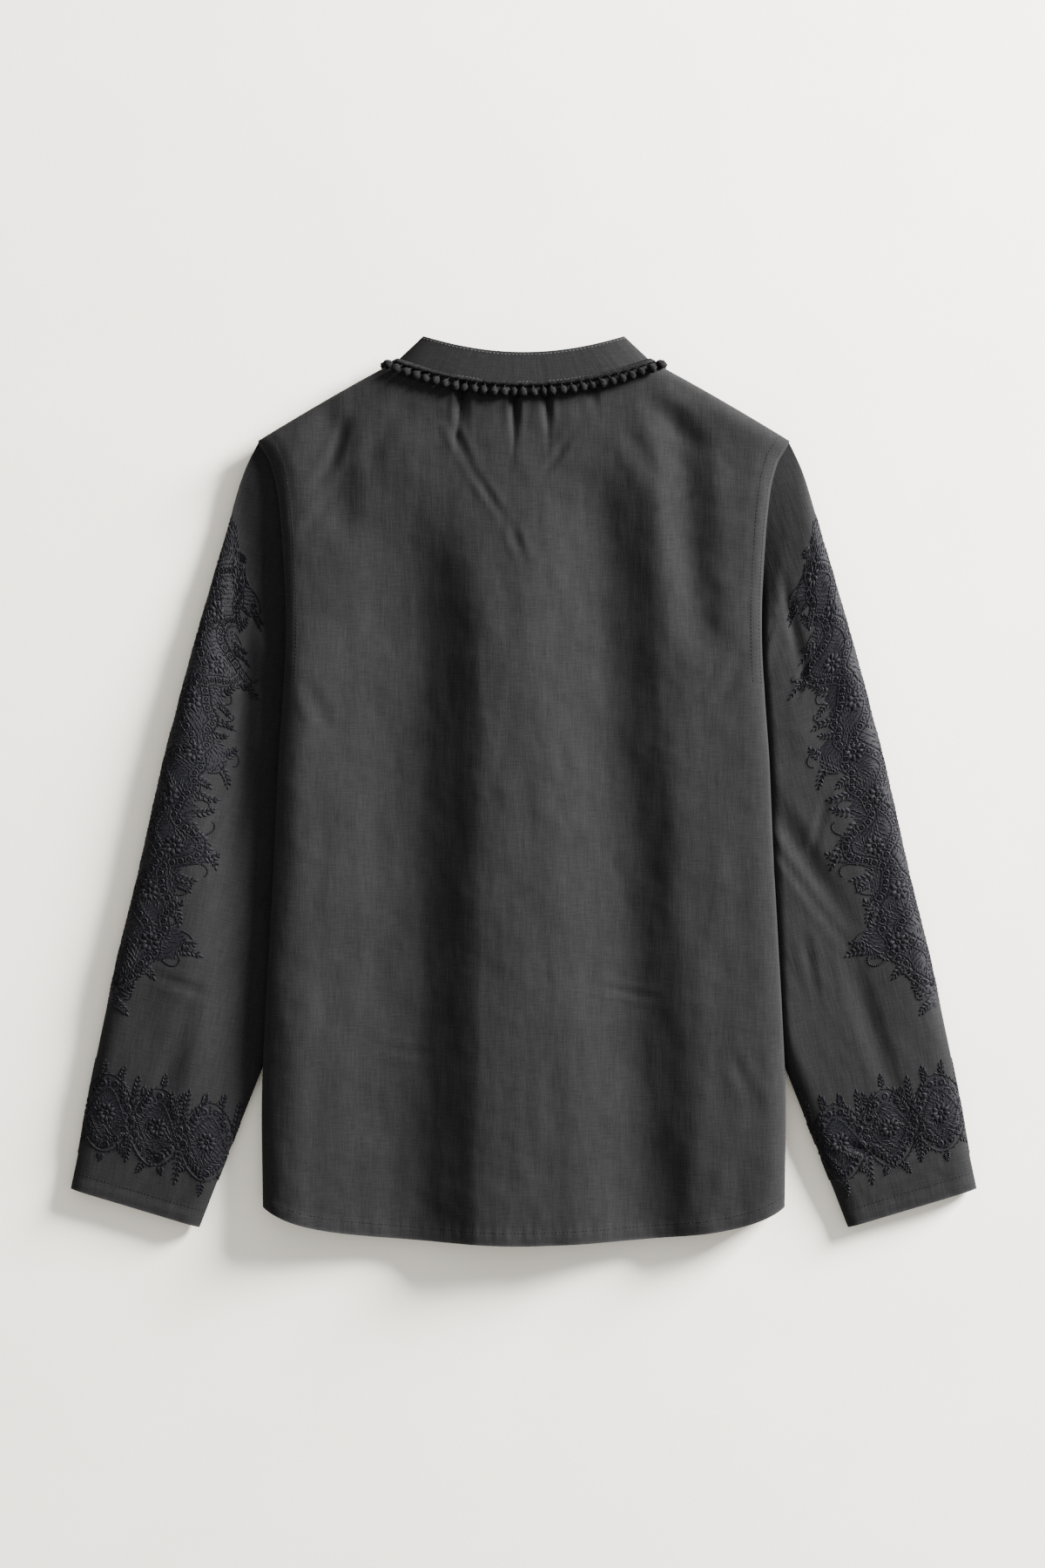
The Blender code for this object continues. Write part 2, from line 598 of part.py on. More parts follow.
def make_placket(look, home):
    """The strip down centre front, over the left front's edge."""
    top = len(ROWS_Y) - 1

    def place(column, row):
        x = PLACKET_HALF * (column - 1)
        return front_point(x, x, ROWS_Y[top - row])

    cloth("placket", 2, top, place, False, look, home)


def make_sleeve(name, side, look, home):
    """One sleeve, a tube of rings from the armhole to the hemmed cuff."""
    over = [(0.5 - 0.5 * math.cos(math.pi * k / RING_TOP), True) for k in range(RING_TOP)]
    under = [(0.5 + 0.5 * math.cos(math.pi * k / RING_UNDER), False) for k in range(RING_UNDER + 1)]
    ring = over + under

    def place(column, row):
        t, on_top = ring[column]
        return sleeve_point(side, SLEEVE_RINGS[row], t, on_top)

    cloth(name, len(ring) - 1, len(SLEEVE_RINGS) - 1, place, True, look, home, probe=RING_TOP // 2)


def make_collar(look, home):
    """The stand collar, one band that stops on each side of centre front."""
    start = math.asin(COLLAR_END_X / COLLAR_TOP_HALF) / (2.0 * math.pi)
    half = [start + (0.25 - start) * k / COLLAR_ARC_STEPS for k in range(COLLAR_ARC_STEPS)]
    half += [0.25 + 0.25 * k / COLLAR_ARC_STEPS for k in range(COLLAR_ARC_STEPS + 1)]
    turns = half + [1.0 - f for f in reversed(half[:-1])]

    def place(column, row):
        return collar_point(turns[column], row / COLLAR_ROWS)

    cloth("collar", len(turns) - 1, COLLAR_ROWS, place, True, look, home, COLLAR_WALL)


def make_trim(look, home):
    """The tape round the neck seam with its row of pompoms, all one piece."""
    middle = (TAPE_NEAR + TAPE_FAR) / 2.0
    start = math.asin(TRIM_START_X / (NECK_HALF + middle)) / (2.0 * math.pi)
    stops = evenly(lambda f: neck_loop(f, POMPOM[2].out), start, 1.0 - start, POMPOM_PITCH / 2.0)
    if len(stops) % 2:
        stops.pop()
    mesh = bmesh.new()
    rings = []
    for f in stops:
        ring = []
        for out, lift in ((TAPE_NEAR, 0.0), (TAPE_FAR, 0.0), (TAPE_FAR, TAPE_THICK), (TAPE_NEAR, TAPE_THICK)):
            here, _, _, off = trim_frame(f, out)
            ring.append(mesh.verts.new((here + off * (TRIM_GAP + lift)) * MM))
        rings.append(ring)
    for i, (a, b) in enumerate(zip(rings, rings[1:])):
        for k in range(4):
            far_side = k == 1
            face = mesh.faces.new((a[k], b[k], b[(k + 1) % 4], a[(k + 1) % 4]))
            if far_side and i % 2 == 0:
                add_pompom(mesh, face, (stops[i] + stops[i + 1]) / 2.0)
    mesh.faces.new(rings[0])
    mesh.faces.new(list(reversed(rings[-1])))
    bmesh.ops.recalc_face_normals(mesh, faces=mesh.faces)
    new_object("pompom_trim", mesh, look, home)


def add_pompom(mesh, face, f):
    """Draws a pompom out of one face on the tape's far side."""
    corners = list(face.verts)
    mesh.faces.remove(face)
    middle = sum((corner.co for corner in corners), Vector()) / 4.0
    _, along, _, off = trim_frame(f, TAPE_FAR)
    signs = [(math.copysign(1.0, (c.co - middle).dot(along)), math.copysign(1.0, (c.co - middle).dot(off)))
             for c in corners]
    for stage in POMPOM:
        here, along, _, off = trim_frame(f, stage.out)
        centre = here + off * stage.lift
        new = [mesh.verts.new((centre + along * u * stage.half_along + off * v * stage.half_high) * MM)
               for u, v in signs]
        for k in range(4):
            n = (k + 1) % 4
            mesh.faces.new((corners[k], corners[n], new[n], new[k]))
        corners = new
    here, _, _, off = trim_frame(f, POMPOM_TIP_OUT)
    tip = mesh.verts.new((here + off * POMPOM_TIP_LIFT) * MM)
    for k in range(4):
        mesh.faces.new((corners[k], corners[(k + 1) % 4], tip))


def make_button(name, y, look, home):
    """A flat round button between the placket and the surface."""
    mesh = bmesh.new()
    bmesh.ops.create_cone(mesh, cap_ends=True, segments=BUTTON_SIDES, radius1=BUTTON_RADIUS * MM,
                          radius2=BUTTON_RADIUS * MM, depth=BUTTON_THICK * MM)
    low = min(front_height(0.0, y - BUTTON_RADIUS), front_height(0.0, y + BUTTON_RADIUS))
    z = low - GAP - BUTTON_THICK / 2.0
    bmesh.ops.translate(mesh, verts=mesh.verts, vec=Vector((0.0, y, z)) * MM)
    new_object(name, mesh, look, home)


def build():
    """Makes every piece, in one collection."""
    for found in list(bpy.data.objects):
        bpy.data.objects.remove(found)
    home = bpy.data.collections.new("embroidered_shirt")
    bpy.context.scene.collection.children.link(home)
    linen = material("charcoal_linen", (0.055, 0.055, 0.057), 0.9)
    yarn = material("black_yarn", (0.018, 0.018, 0.02), 0.95)
    horn = material("dark_button", (0.02, 0.02, 0.022), 0.45)
    make_back(linen, home)
    make_front("front_right", 1.0, PLACKET_HALF + GAP, 0.0, linen, home)
    make_front("front_left", -1.0, -UNDER_EDGE, UNDER_LIFT, linen, home)
    make_placket(linen, home)
    make_sleeve("sleeve_right", 1.0, linen, home)
    make_sleeve("sleeve_left", -1.0, linen, home)
    make_collar(linen, home)
    make_trim(yarn, home)
    for n in range(BUTTON_COUNT):
        make_button("button_%d" % (n + 1), BUTTON_TOP_Y - BUTTON_PITCH * n, horn, home)


build()
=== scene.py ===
"""Dark linen shirt with embroidered sleeves, laid on its fronts with its back up.

Lengths in the classes are millimetres and become metres when a mesh is made. +X is the wearer's right, +Y the
collar and +Z up, as in the construction model, whose solids the cloth pieces here replace one for one.
"""

from __future__ import annotations

import json
import logging
import math
from contextlib import contextmanager
from dataclasses import dataclass, field
from enum import Enum
from typing import Any, Callable, Iterator, NamedTuple, Sequence

import bpy
import numpy as np
from bpy.types import Material, Node, NodeSocket, NodeTree, Object
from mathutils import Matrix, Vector

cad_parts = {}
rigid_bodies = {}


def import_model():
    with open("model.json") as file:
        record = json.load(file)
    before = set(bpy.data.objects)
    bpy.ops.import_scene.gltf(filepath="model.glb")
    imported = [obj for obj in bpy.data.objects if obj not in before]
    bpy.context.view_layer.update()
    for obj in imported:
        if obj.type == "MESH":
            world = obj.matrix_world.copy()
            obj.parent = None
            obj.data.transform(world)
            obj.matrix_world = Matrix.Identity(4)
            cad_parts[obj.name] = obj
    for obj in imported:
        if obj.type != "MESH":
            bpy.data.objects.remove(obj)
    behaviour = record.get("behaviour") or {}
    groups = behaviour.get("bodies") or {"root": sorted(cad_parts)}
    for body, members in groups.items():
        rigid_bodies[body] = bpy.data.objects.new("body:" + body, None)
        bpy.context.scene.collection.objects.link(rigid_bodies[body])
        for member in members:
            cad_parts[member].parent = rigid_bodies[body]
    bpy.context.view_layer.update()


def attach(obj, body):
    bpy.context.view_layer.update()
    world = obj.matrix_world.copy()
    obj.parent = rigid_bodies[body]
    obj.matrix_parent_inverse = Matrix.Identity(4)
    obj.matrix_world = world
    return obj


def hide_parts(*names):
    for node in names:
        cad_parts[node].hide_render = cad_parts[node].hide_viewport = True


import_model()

LOG = logging.getLogger("shirt")
MM = 0.001
MIDDLE_Y = -1.35  # the laid shirt's middle, which is the model's origin
Array = np.ndarray


# ---- Small shapes of curves -------------------------------------------------------------------


def smooth(value: Array | float) -> Array:
    """0 below 0, 1 above 1, and an S curve between."""
    t = np.clip(value, 0.0, 1.0)
    return t * t * (3.0 - 2.0 * t)


def bump(value: Array | float) -> Array:
    """1 at 0, falling softly to 0 at -1 and 1."""
    return 0.5 + 0.5 * np.cos(np.pi * np.clip(value, -1.0, 1.0))


def round_in(distance: Array | float, rim: float) -> Array:
    """Height share of a rounded edge at this distance in from it."""
    t = np.clip(np.asarray(distance) / rim, 0.0, 1.0)
    return np.sqrt(1.0 - (1.0 - t) ** 2)


def hem_edge(past: Array) -> Array:
    """0 on a turned hem, 1 past its stitched edge, with a step 1.6 mm wide."""
    return smooth((past + 0.8) / 1.6)


def unit(vectors: Array) -> Array:
    """The same directions at length 1."""
    return vectors / np.maximum(np.linalg.norm(vectors, axis=-1, keepdims=True), 1e-9)


def lengths(line: Array) -> Array:
    """Lengths along a line, from its start to each of its points."""
    return np.concatenate([[0.0], np.cumsum(np.linalg.norm(np.diff(line, axis=0), axis=1))])


def stroke(off: tuple[Array, Array], way: tuple[Any, Any], width: float, ridge: float) -> Array:
    """A straight crease's depth share: 1 in its middle, less to its sides and ends, with a low ridge beside it.

    Args:
        off: How far places are from its start, in two directions.
        way: How far its end is from its start.
        width: Half its width.
        ridge: The ridge's height share.

    Returns:
        One value for each place.
    """
    f = np.clip((off[0] * way[0] + off[1] * way[1]) / (way[0] ** 2 + way[1] ** 2), 0.0, 1.0)
    far = np.hypot(off[0] - way[0] * f, off[1] - way[1] * f) / width
    return (bump(far) - ridge * bump(far - 1.5)) * bump((2.0 * f - 1.0) * 0.9)


def tube_faces(rings: int, sides: int) -> Array:
    """Triangles of a tube whose corners are listed ring by ring."""
    base = np.arange(rings - 1)[:, None] * sides
    faces = []
    for k in range(sides):
        n = (k + 1) % sides
        faces.append(np.concatenate([base + k, base + n, base + sides + n], 1))
        faces.append(np.concatenate([base + k, base + sides + n, base + sides + k], 1))
    return np.concatenate(faces)


def between(grid: Array, i: Array, j: Array, a: Array, b: Array) -> Array:
    """A grid's values between its corners: shares a and b past row i and column j."""
    low = grid[i, j] * (1 - a) + grid[i + 1, j] * a
    high = grid[i, j + 1] * (1 - a) + grid[i + 1, j + 1] * a
    return low * (1 - b) + high * b


def crumple(x: Array, y: Array, size: float, seed: int) -> Array:
    """Soft unevenness of cloth, about -1 to 1.

    Args:
        x: Places across the cloth.
        y: Places along the cloth.
        size: How wide one soft dent is.
        seed: Picks the pattern.

    Returns:
        One value for each place.
    """
    lattice = np.random.default_rng(seed).uniform(-1.0, 1.0, (97, 97))
    u, v = np.asarray(x) / size + 700.0, np.asarray(y) / size + 700.0
    i, j = np.floor(u).astype(int), np.floor(v).astype(int)
    a, b = smooth(u - i), smooth(v - j)
    return between(lattice, i % 96, j % 96, a, b)


class Table:
    """A short table of sizes, read between its rows along smooth curves."""

    def __init__(self, rows: Sequence[Any]) -> None:
        """Keeps each named column as an array.

        Args:
            rows: Named tuples, one for each section of the shirt, from the collar down.
        """
        self.columns = {name: np.array([getattr(row, name) for row in rows], float) for name in rows[0]._fields}
        self.last = len(rows) - 1

    def at(self, name: str, place: Array | float) -> Array:
        """A column at fractional row numbers.

        Args:
            name: The column.
            place: Row numbers.

        Returns:
            The column's smooth values there.
        """
        values = self.columns[name]
        place = np.clip(place, 0.0, self.last)
        i = np.minimum(np.floor(place).astype(int), self.last - 1)
        t = place - i
        before, start = values[np.maximum(i - 1, 0)], values[i]
        end, after = values[i + 1], values[np.minimum(i + 2, self.last)]
        slope_a, slope_b = (end - before) / 2.0, (after - start) / 2.0
        a = 2.0 * start - 2.0 * end + slope_a + slope_b
        b = 3.0 * (end - start) - 2.0 * slope_a - slope_b
        return ((a * t + b) * t + slope_a) * t + start

    def down(self, name: str, y: Array | float) -> Array:
        """A column at places down the shirt.

        Args:
            name: The column.
            y: Places along the shirt's length.

        Returns:
            The column's smooth values there.
        """
        return self.at(name, np.interp(-np.asarray(y), -self.columns["y"], np.arange(self.last + 1)))


# ---- The shirt's form, as in the construction model ---------------------------------------------


class SideRow(NamedTuple):
    """The body's side at one height: its visible edge, and how the back panel wraps under there."""

    y: float
    half_width: float
    wrap_deg: float
    mid_height: float
    low_height: float


class Fold(NamedTuple):
    """A soft fold of the back panel; a negative depth is a ridge."""

    x_top: float
    x_bottom: float
    y_top: float
    y_bottom: float
    depth: float
    left: float
    right: float
    fade: float


class Gather(NamedTuple):
    """A gather of the back panel under the collar."""

    x: float
    depth: float
    half_width: float
    length: float


class SleeveRow(NamedTuple):
    """A ring of the right sleeve: its outer and underarm folds, and its heights."""

    outer_x: float
    outer_y: float
    inner_x: float
    inner_y: float
    edge_height: float
    height: float


class SleeveFold(NamedTuple):
    """A soft fold of one sleeve, from one place on it to another."""

    side: int
    row_a: float
    across_a: float
    row_b: float
    across_b: float
    depth: float
    width: float


class InnerEdge(NamedTuple):
    """The sleeve's underarm fold as the fronts lie over it."""

    y: float
    x: float


class Crease(NamedTuple):
    """A sharp small crease of the back panel, from one place to another."""

    x_a: float
    y_a: float
    x_b: float
    y_b: float
    depth: float
    width: float


SIDE = (
    SideRow(276.0, 210.7, 0.0, 14.0, 10.5),
    SideRow(259.0, 201.5, -12.0, 14.6, 10.5),
    SideRow(239.0, 196.0, -24.0, 15.2, 10.5),
    SideRow(211.0, 192.6, -36.0, 15.8, 10.5),
    SideRow(177.0, 190.2, -50.0, 16.4, 10.4),
    SideRow(142.0, 188.6, -66.0, 16.8, 10.2),
    SideRow(110.0, 188.8, -81.0, 17.0, 10.0),
    SideRow(82.0, 190.4, -90.0, 17.0, 10.0),
    SideRow(24.0, 194.4, -90.0, 17.0, 10.0),
    SideRow(-50.0, 197.6, -90.0, 16.8, 10.0),
    SideRow(-121.0, 201.5, -90.0, 16.4, 10.0),
    SideRow(-190.0, 205.4, -90.0, 15.0, 9.6),
    SideRow(-250.0, 207.8, -90.0, 12.6, 6.0),
    SideRow(-331.0, 207.2, -90.0, 9.6, 2.4),
)
FOLDS = (
    Fold(-84.0, -90.0, 262.0, -460.0, 11.7, 92.0, 54.0, 140.0),
    Fold(-26.0, -22.0, 200.0, -460.0, -3.0, 40.0, 60.0, 90.0),
    Fold(56.0, 106.0, 300.0, -460.0, 10.0, 66.0, 50.0, 120.0),
    Fold(120.0, 142.0, 318.0, 96.0, 4.5, 26.0, 28.0, 46.0),
    Fold(-152.0, -148.0, 318.0, 190.0, 3.0, 24.0, 26.0, 40.0),
    Fold(-176.0, -184.0, 160.0, -460.0, -2.0, 30.0, 22.0, 90.0),
)
GATHERS = (
    Gather(-47.6, 2.4, 8.0, 58.0),
    Gather(-33.0, 1.4, 7.0, 34.0),
    Gather(-7.2, 2.4, 8.0, 52.0),
    Gather(18.1, 2.0, 8.0, 46.0),
    Gather(53.8, 1.2, 9.0, 34.0),
)
SLEEVE = (
    SleeveRow(210.7, 276.0, 172.4, 82.0, 14.0, 14.0),
    SleeveRow(221.8, 251.2, 170.5, 75.0, 11.5, 16.5),
    SleeveRow(232.9, 214.1, 167.0, 66.0, 10.0, 18.0),
    SleeveRow(245.2, 172.5, 162.0, 54.0, 9.0, 18.5),
    SleeveRow(257.4, 130.4, 156.5, 40.0, 8.5, 18.5),
    SleeveRow(267.1, 95.6, 151.0, 24.0, 8.5, 18.5),
    SleeveRow(276.3, 60.7, 147.0, 5.0, 8.5, 18.5),
    SleeveRow(284.6, 29.0, 145.0, -18.0, 8.5, 18.5),
    SleeveRow(296.6, -22.8, 150.0, -60.0, 8.5, 18.5),
    SleeveRow(308.2, -75.2, 164.0, -110.0, 8.5, 18.0),
    SleeveRow(321.9, -130.2, 186.0, -166.0, 8.0, 17.5),
    SleeveRow(334.7, -189.3, 209.0, -224.6, 7.5, 16.5),
    SleeveRow(347.3, -250.5, 233.0, -285.0, 7.0, 14.5),
    SleeveRow(353.2, -284.3, 245.5, -316.5, 6.5, 13.0),
    SleeveRow(360.0, -317.0, 257.6, -347.8, 6.0, 12.0),
)
SLEEVE_FOLDS = (
    SleeveFold(1, 6.6, 0.72, 9.6, 0.36, 3.0, 15.0),
    SleeveFold(1, 9.4, 0.45, 12.2, 0.42, 2.2, 15.0),
    SleeveFold(1, 1.2, 0.40, 4.8, 0.36, 2.0, 10.0),
    SleeveFold(-1, 2.0, 0.34, 9.0, 0.48, 3.0, 14.0),
    SleeveFold(-1, 9.6, 0.50, 12.6, 0.46, 2.0, 15.0),
)
# Small sharp creases of the sleeves, which the construction model leaves out.
SLEEVE_CREASES = (
    SleeveFold(1, 7.2, 0.30, 8.4, 0.52, 0.9, 4.0),
    SleeveFold(1, 11.9, 0.86, 12.6, 0.62, 1.2, 4.5),
    SleeveFold(1, 9.0, 0.62, 10.4, 0.70, 0.8, 4.5),
    SleeveFold(1, 12.9, 0.25, 13.2, 0.70, 0.5, 5.0),
    SleeveFold(1, 3.6, 0.30, 5.0, 0.46, 0.8, 4.5),
    SleeveFold(-1, 10.12, 0.14, 10.25, 0.64, 1.0, 3.4),
    SleeveFold(1, 7.0, 0.80, 9.9, 0.40, 1.3, 4.0),
    SleeveFold(-1, 7.4, 0.40, 8.6, 0.24, 0.8, 4.5),
    SleeveFold(-1, 4.2, 0.36, 5.4, 0.20, 0.7, 4.5),
    SleeveFold(-1, 12.4, 0.40, 13.0, 0.64, 0.7, 4.5),
    SleeveFold(-1, 1.0, 0.28, 2.2, 0.42, 0.7, 5.0),
)
INNER_EDGE = (
    InnerEdge(300.0, 330.0),
    InnerEdge(116.0, 222.0),
    InnerEdge(98.0, 190.0),
    InnerEdge(82.0, 172.4),
    InnerEdge(54.0, 161.0),
    InnerEdge(24.0, 150.4),
    InnerEdge(-18.0, 144.6),
    InnerEdge(-60.0, 149.4),
    InnerEdge(-110.0, 163.2),
    InnerEdge(-166.0, 185.0),
    InnerEdge(-224.6, 208.0),
    InnerEdge(-285.0, 232.0),
    InnerEdge(-361.0, 262.0),
)
# Finer gathers between those that the construction model has; a negative depth is a ridge.
FINE_GATHERS = (
    Gather(-53.5, -1.5, 4.0, 62.0),
    Gather(-47.6, 3.2, 3.4, 78.0),
    Gather(-40.0, -1.2, 4.0, 40.0),
    Gather(-27.0, 0.8, 3.4, 26.0),
    Gather(-12.6, -1.3, 3.8, 46.0),
    Gather(-7.0, 3.2, 3.4, 74.0),
    Gather(-1.0, -1.5, 3.4, 60.0),
    Gather(5.6, 0.9, 3.0, 30.0),
    Gather(12.0, -1.0, 3.2, 40.0),
    Gather(17.6, 2.9, 3.4, 66.0),
    Gather(23.6, -1.4, 3.8, 50.0),
    Gather(33.0, 0.8, 4.0, 24.0),
    Gather(47.0, -0.9, 4.4, 34.0),
    Gather(53.8, 1.5, 4.6, 40.0),
    Gather(-66.0, 0.9, 5.0, 30.0),
    Gather(68.0, 0.8, 5.0, 26.0),
)
# Diagonal drag lines from the neck and the shoulders, and a few storage creases.
CREASES = (
    Crease(98.0, 330.0, 160.0, 300.0, 0.9, 8.0),
    Crease(92.0, 312.0, 150.0, 262.0, 0.8, 9.0),
    Crease(70.0, 300.0, 112.0, 236.0, 0.8, 9.0),
    Crease(-96.0, 326.0, -150.0, 292.0, 0.7, 8.0),
    Crease(-88.0, 306.0, -140.0, 246.0, 0.7, 9.0),
    Crease(-170.0, 232.0, -138.0, 280.0, 0.9, 6.0),
    Crease(-178.0, 196.0, -150.0, 236.0, 0.7, 6.0),
    Crease(48.0, -154.0, 118.0, -168.0, 0.5, 4.0),
    Crease(-120.0, -204.0, -64.0, -212.0, 0.5, 5.0),
    Crease(150.0, 60.0, 176.0, 110.0, 0.7, 7.0),
    Crease(-150.0, 40.0, -180.0, 96.0, 0.7, 7.0),
    Crease(20.0, 60.0, 44.0, -20.0, 0.4, 7.0),
    Crease(160.0, -200.0, 182.0, -250.0, 0.6, 6.0),
    Crease(-50.0, 266.0, -10.0, 206.0, 0.7, 3.8),
    Crease(44.0, 288.0, 9.0, 240.0, 0.8, 4.0),
    Crease(-62.0, 296.0, -40.0, 252.0, 0.9, 4.4),
    Crease(-138.0, 300.0, -154.0, 252.0, 1.0, 5.0),
    Crease(-12.0, 214.0, 2.0, 176.0, 0.7, 4.6),
    Crease(104.0, 214.0, 136.0, 236.0, 0.8, 4.4),
)


@dataclass(frozen=True)
class ShirtForm:
    """The laid shirt's surfaces. Every method takes and gives arrays of millimetres."""

    wall: float = 1.2
    gap: float = 0.3
    neck_half: float = 100.0
    neck_side_y: float = 339.8
    neck_back_y: float = 322.2
    neck_front_y: float = 247.0
    neck_front_power: float = 2.4
    tip_x: float = 210.7
    tip_y: float = 276.0
    shoulder_bow: float = 1.2
    shoulder_rim: float = 12.0
    side_rim: float = 18.0
    underarm_y: float = 82.0
    side_hem_y: float = -331.0
    centre_hem_y: float = -361.0
    front_hem_rise: float = 12.0
    top_centre_height: float = 24.0
    top_fall: float = 2.5
    neck_mid_height: float = 14.0
    step: float = 16.0
    neck_lift: float = 8.8
    neck_lift_flat: float = 15.0
    neck_lift_end: float = 48.0
    placket_half: float = 12.5
    placket_lift: float = 2.3
    placket_ease: float = 22.0
    hem_depth: float = 10.0
    hem_step: float = 0.5
    armhole_allowance: float = 7.6
    armhole_ease: float = 2.4
    armhole_step: float = 0.45
    crease_ridge: float = 0.6
    shoulder_rows: float = 14.0  # the length of the closer rows below the shoulder
    side: Table = field(default_factory=lambda: Table(SIDE))
    inner_edge: Table = field(default_factory=lambda: Table(INNER_EDGE))

    def shoulder_line(self, x: Array) -> Array:
        """The shoulder fold's place along the shirt, at places across it."""
        t = (np.abs(x) - self.neck_half) / (self.tip_x - self.neck_half)
        return self.neck_side_y + (self.tip_y - self.neck_side_y) * t + self.shoulder_bow * 4.0 * t * (1.0 - t)

    def back_top(self, x: Array) -> Array:
        """The back panel's top edge: its neck, then the shoulder fold."""
        r = np.abs(x) / self.neck_half
        neck = self.neck_back_y + (self.neck_side_y - self.neck_back_y) * r ** 2
        return np.where(r < 1.0, neck, self.shoulder_line(x))

    def front_top(self, x: Array) -> Array:
        """The fronts' top edge: their neck, then the shoulder fold."""
        r = np.abs(x) / self.neck_half
        neck = self.neck_front_y + (self.neck_side_y - self.neck_front_y) * r ** self.neck_front_power
        return np.where(r < 1.0, neck, self.shoulder_line(x))

    def hem(self, x: Array) -> Array:
        """The curved hem's place along the shirt."""
        r = np.minimum(1.0, np.abs(x) / self.side.down("half_width", self.side_hem_y))
        return self.centre_hem_y + 15.0 * r ** 1.5 + 15.0 * r ** 8

    def neck_share(self, x: Array) -> Array:
        """1 at the neck's centre, falling to 0 where the neck edge folds over at its side."""
        r = np.minimum(np.abs(x), self.neck_half) / self.neck_half
        return np.sqrt(np.maximum(0.0, 1.0 - r ** 5))

    def gathered(self, table: Sequence[Gather], x: Array, y: Array, fade: float, lean: float = 0.0) -> Array:
        """How deep the gathers below the neck are.

        Args:
            table: The gathers.
            x: Places across the shirt.
            y: Places along it.
            fade: How far below the seam they are at their full depth.
            lean: How much they spread for each millimetre down.

        Returns:
            Depths, less than 0 on a ridge.
        """
        below = self.neck_back_y + (self.neck_side_y - self.neck_back_y) * (x / self.neck_half) ** 2 - y
        deep = 0.0 * below
        for gather in table:
            share = (1.0 - smooth(below / gather.length)) * smooth(below / fade)
            deep = deep + gather.depth * share * bump((x - gather.x * (1.0 + lean * below)) / gather.half_width)
        return deep

    def top_height(self, x: Array, y: Array) -> Array:
        """The back panel's height, with its folds, gathers and small creases.

        Args:
            x: Places across the shirt.
            y: Places along it.

        Returns:
            The height of the outer face there.
        """
        z = self.top_centre_height - self.top_fall * (x / self.tip_x) ** 2
        for fold in FOLDS:
            down = np.clip((fold.y_top - y) / (fold.y_top - fold.y_bottom), 0.0, 1.0)
            away = x - (fold.x_top + (fold.x_bottom - fold.x_top) * down)
            ends = smooth((fold.y_top - y) / fold.fade) * smooth((y - fold.y_bottom) / fold.fade)
            z = z - fold.depth * ends * bump(away / np.where(away > 0, fold.right, fold.left))
        return z - self.gathered(GATHERS, x, y, 12.0)

    def small_creases(self, x: Array, y: Array) -> Array:
        """The back panel's small creases and its unevenness, to add to its height.

        Args:
            x: Places across the shirt.
            y: Places along it.

        Returns:
            Small heights, above and below 0.
        """
        z = 0.7 * crumple(x, y, 46.0, 11) + 0.3 * crumple(x, y, 17.0, 12) + 0.42 * crumple(x, y * 0.3, 13.0, 13)
        z = z + 0.16 * crumple(x + 0.6 * y, y - 0.4 * x, 9.0, 14) + 0.12 * crumple(x, y * 0.25, 6.0, 15)
        z = z - self.gathered(FINE_GATHERS, x, y, 10.0, 0.0022)
        for crease in CREASES:
            off, way = (x - crease.x_a, y - crease.y_a), (crease.x_b - crease.x_a, crease.y_b - crease.y_a)
            z = z - crease.depth * stroke(off, way, crease.width, self.crease_ridge)
        return z

    def neck_distance(self, x: Array, y: Array) -> Array:
        """How far places on the fronts are from their neck edge."""
        deep = self.neck_side_y - self.neck_front_y
        r = np.minimum(np.abs(x) / self.neck_half, 1.5)
        value = r ** self.neck_front_power + (self.neck_side_y - y) / deep - 1.0
        across = self.neck_front_power * r ** (self.neck_front_power - 1.0) / self.neck_half
        return value / np.hypot(across, 1.0 / deep)

    def rise_start(self, y: Array) -> Array:
        """Where the fronts start to rise over the sleeve."""
        start = self.inner_edge.down("x", y) - self.step
        lower = np.minimum(start, self.side.down("half_width", y) - self.side_rim - self.step - 2.0)
        return np.where(y < self.underarm_y, lower, start)

    def front_height(self, x: Array, y: Array) -> Array:
        """The fronts' outer face: flat on the surface but for what lies under it.

        Args:
            x: Places across the shirt.
            y: Places along it.

        Returns:
            The height of the outer face there.
        """
        z = self.side.down("low_height", y) * smooth((np.abs(x) - self.rise_start(y)) / self.step)
        far = self.neck_distance(x, y)
        reach = self.neck_lift_end - self.neck_lift_flat
        z = z + self.neck_lift * (1.0 - smooth((far - self.neck_lift_flat) / reach))
        beside = (np.abs(x) - self.placket_half) / self.placket_ease
        return np.maximum(z, self.placket_lift * (1.0 - smooth(beside)))

    def row_y(self, hem_x: Array, side_y: Array, top_y: Array, hem_rise: Array | float = 0.0) -> Array:
        """Bends a panel's rows to its top edge at the top and to the hem at the foot.

        Args:
            hem_x: Where each column meets the hem.
            side_y: The row's place at the shirt's side.
            top_y: The top edge's place for each column.
            hem_rise: How much shorter the panel is cut.

        Returns:
            The place along the shirt.
        """
        top = smooth((side_y - 20.0) / (self.tip_y - self.shoulder_rim - 20.0))
        foot = smooth((side_y + 150.0) / (self.side_hem_y + 150.0))
        return side_y + (top_y - self.tip_y) * top + (self.hem(hem_x) + hem_rise - self.side_hem_y) * foot

    def wrap_angle(self, y: Array) -> Array:
        """How far round the side fold the back panel ends, below the level."""
        return np.radians(np.clip(self.side.down("wrap_deg", y), -90.0, 0.0))

    def seam_x(self, y: Array) -> Array:
        """Where the back panel ends at the armhole and the side seam."""
        return self.side.down("half_width", y) - self.side_rim * (1.0 - np.cos(self.wrap_angle(y)))

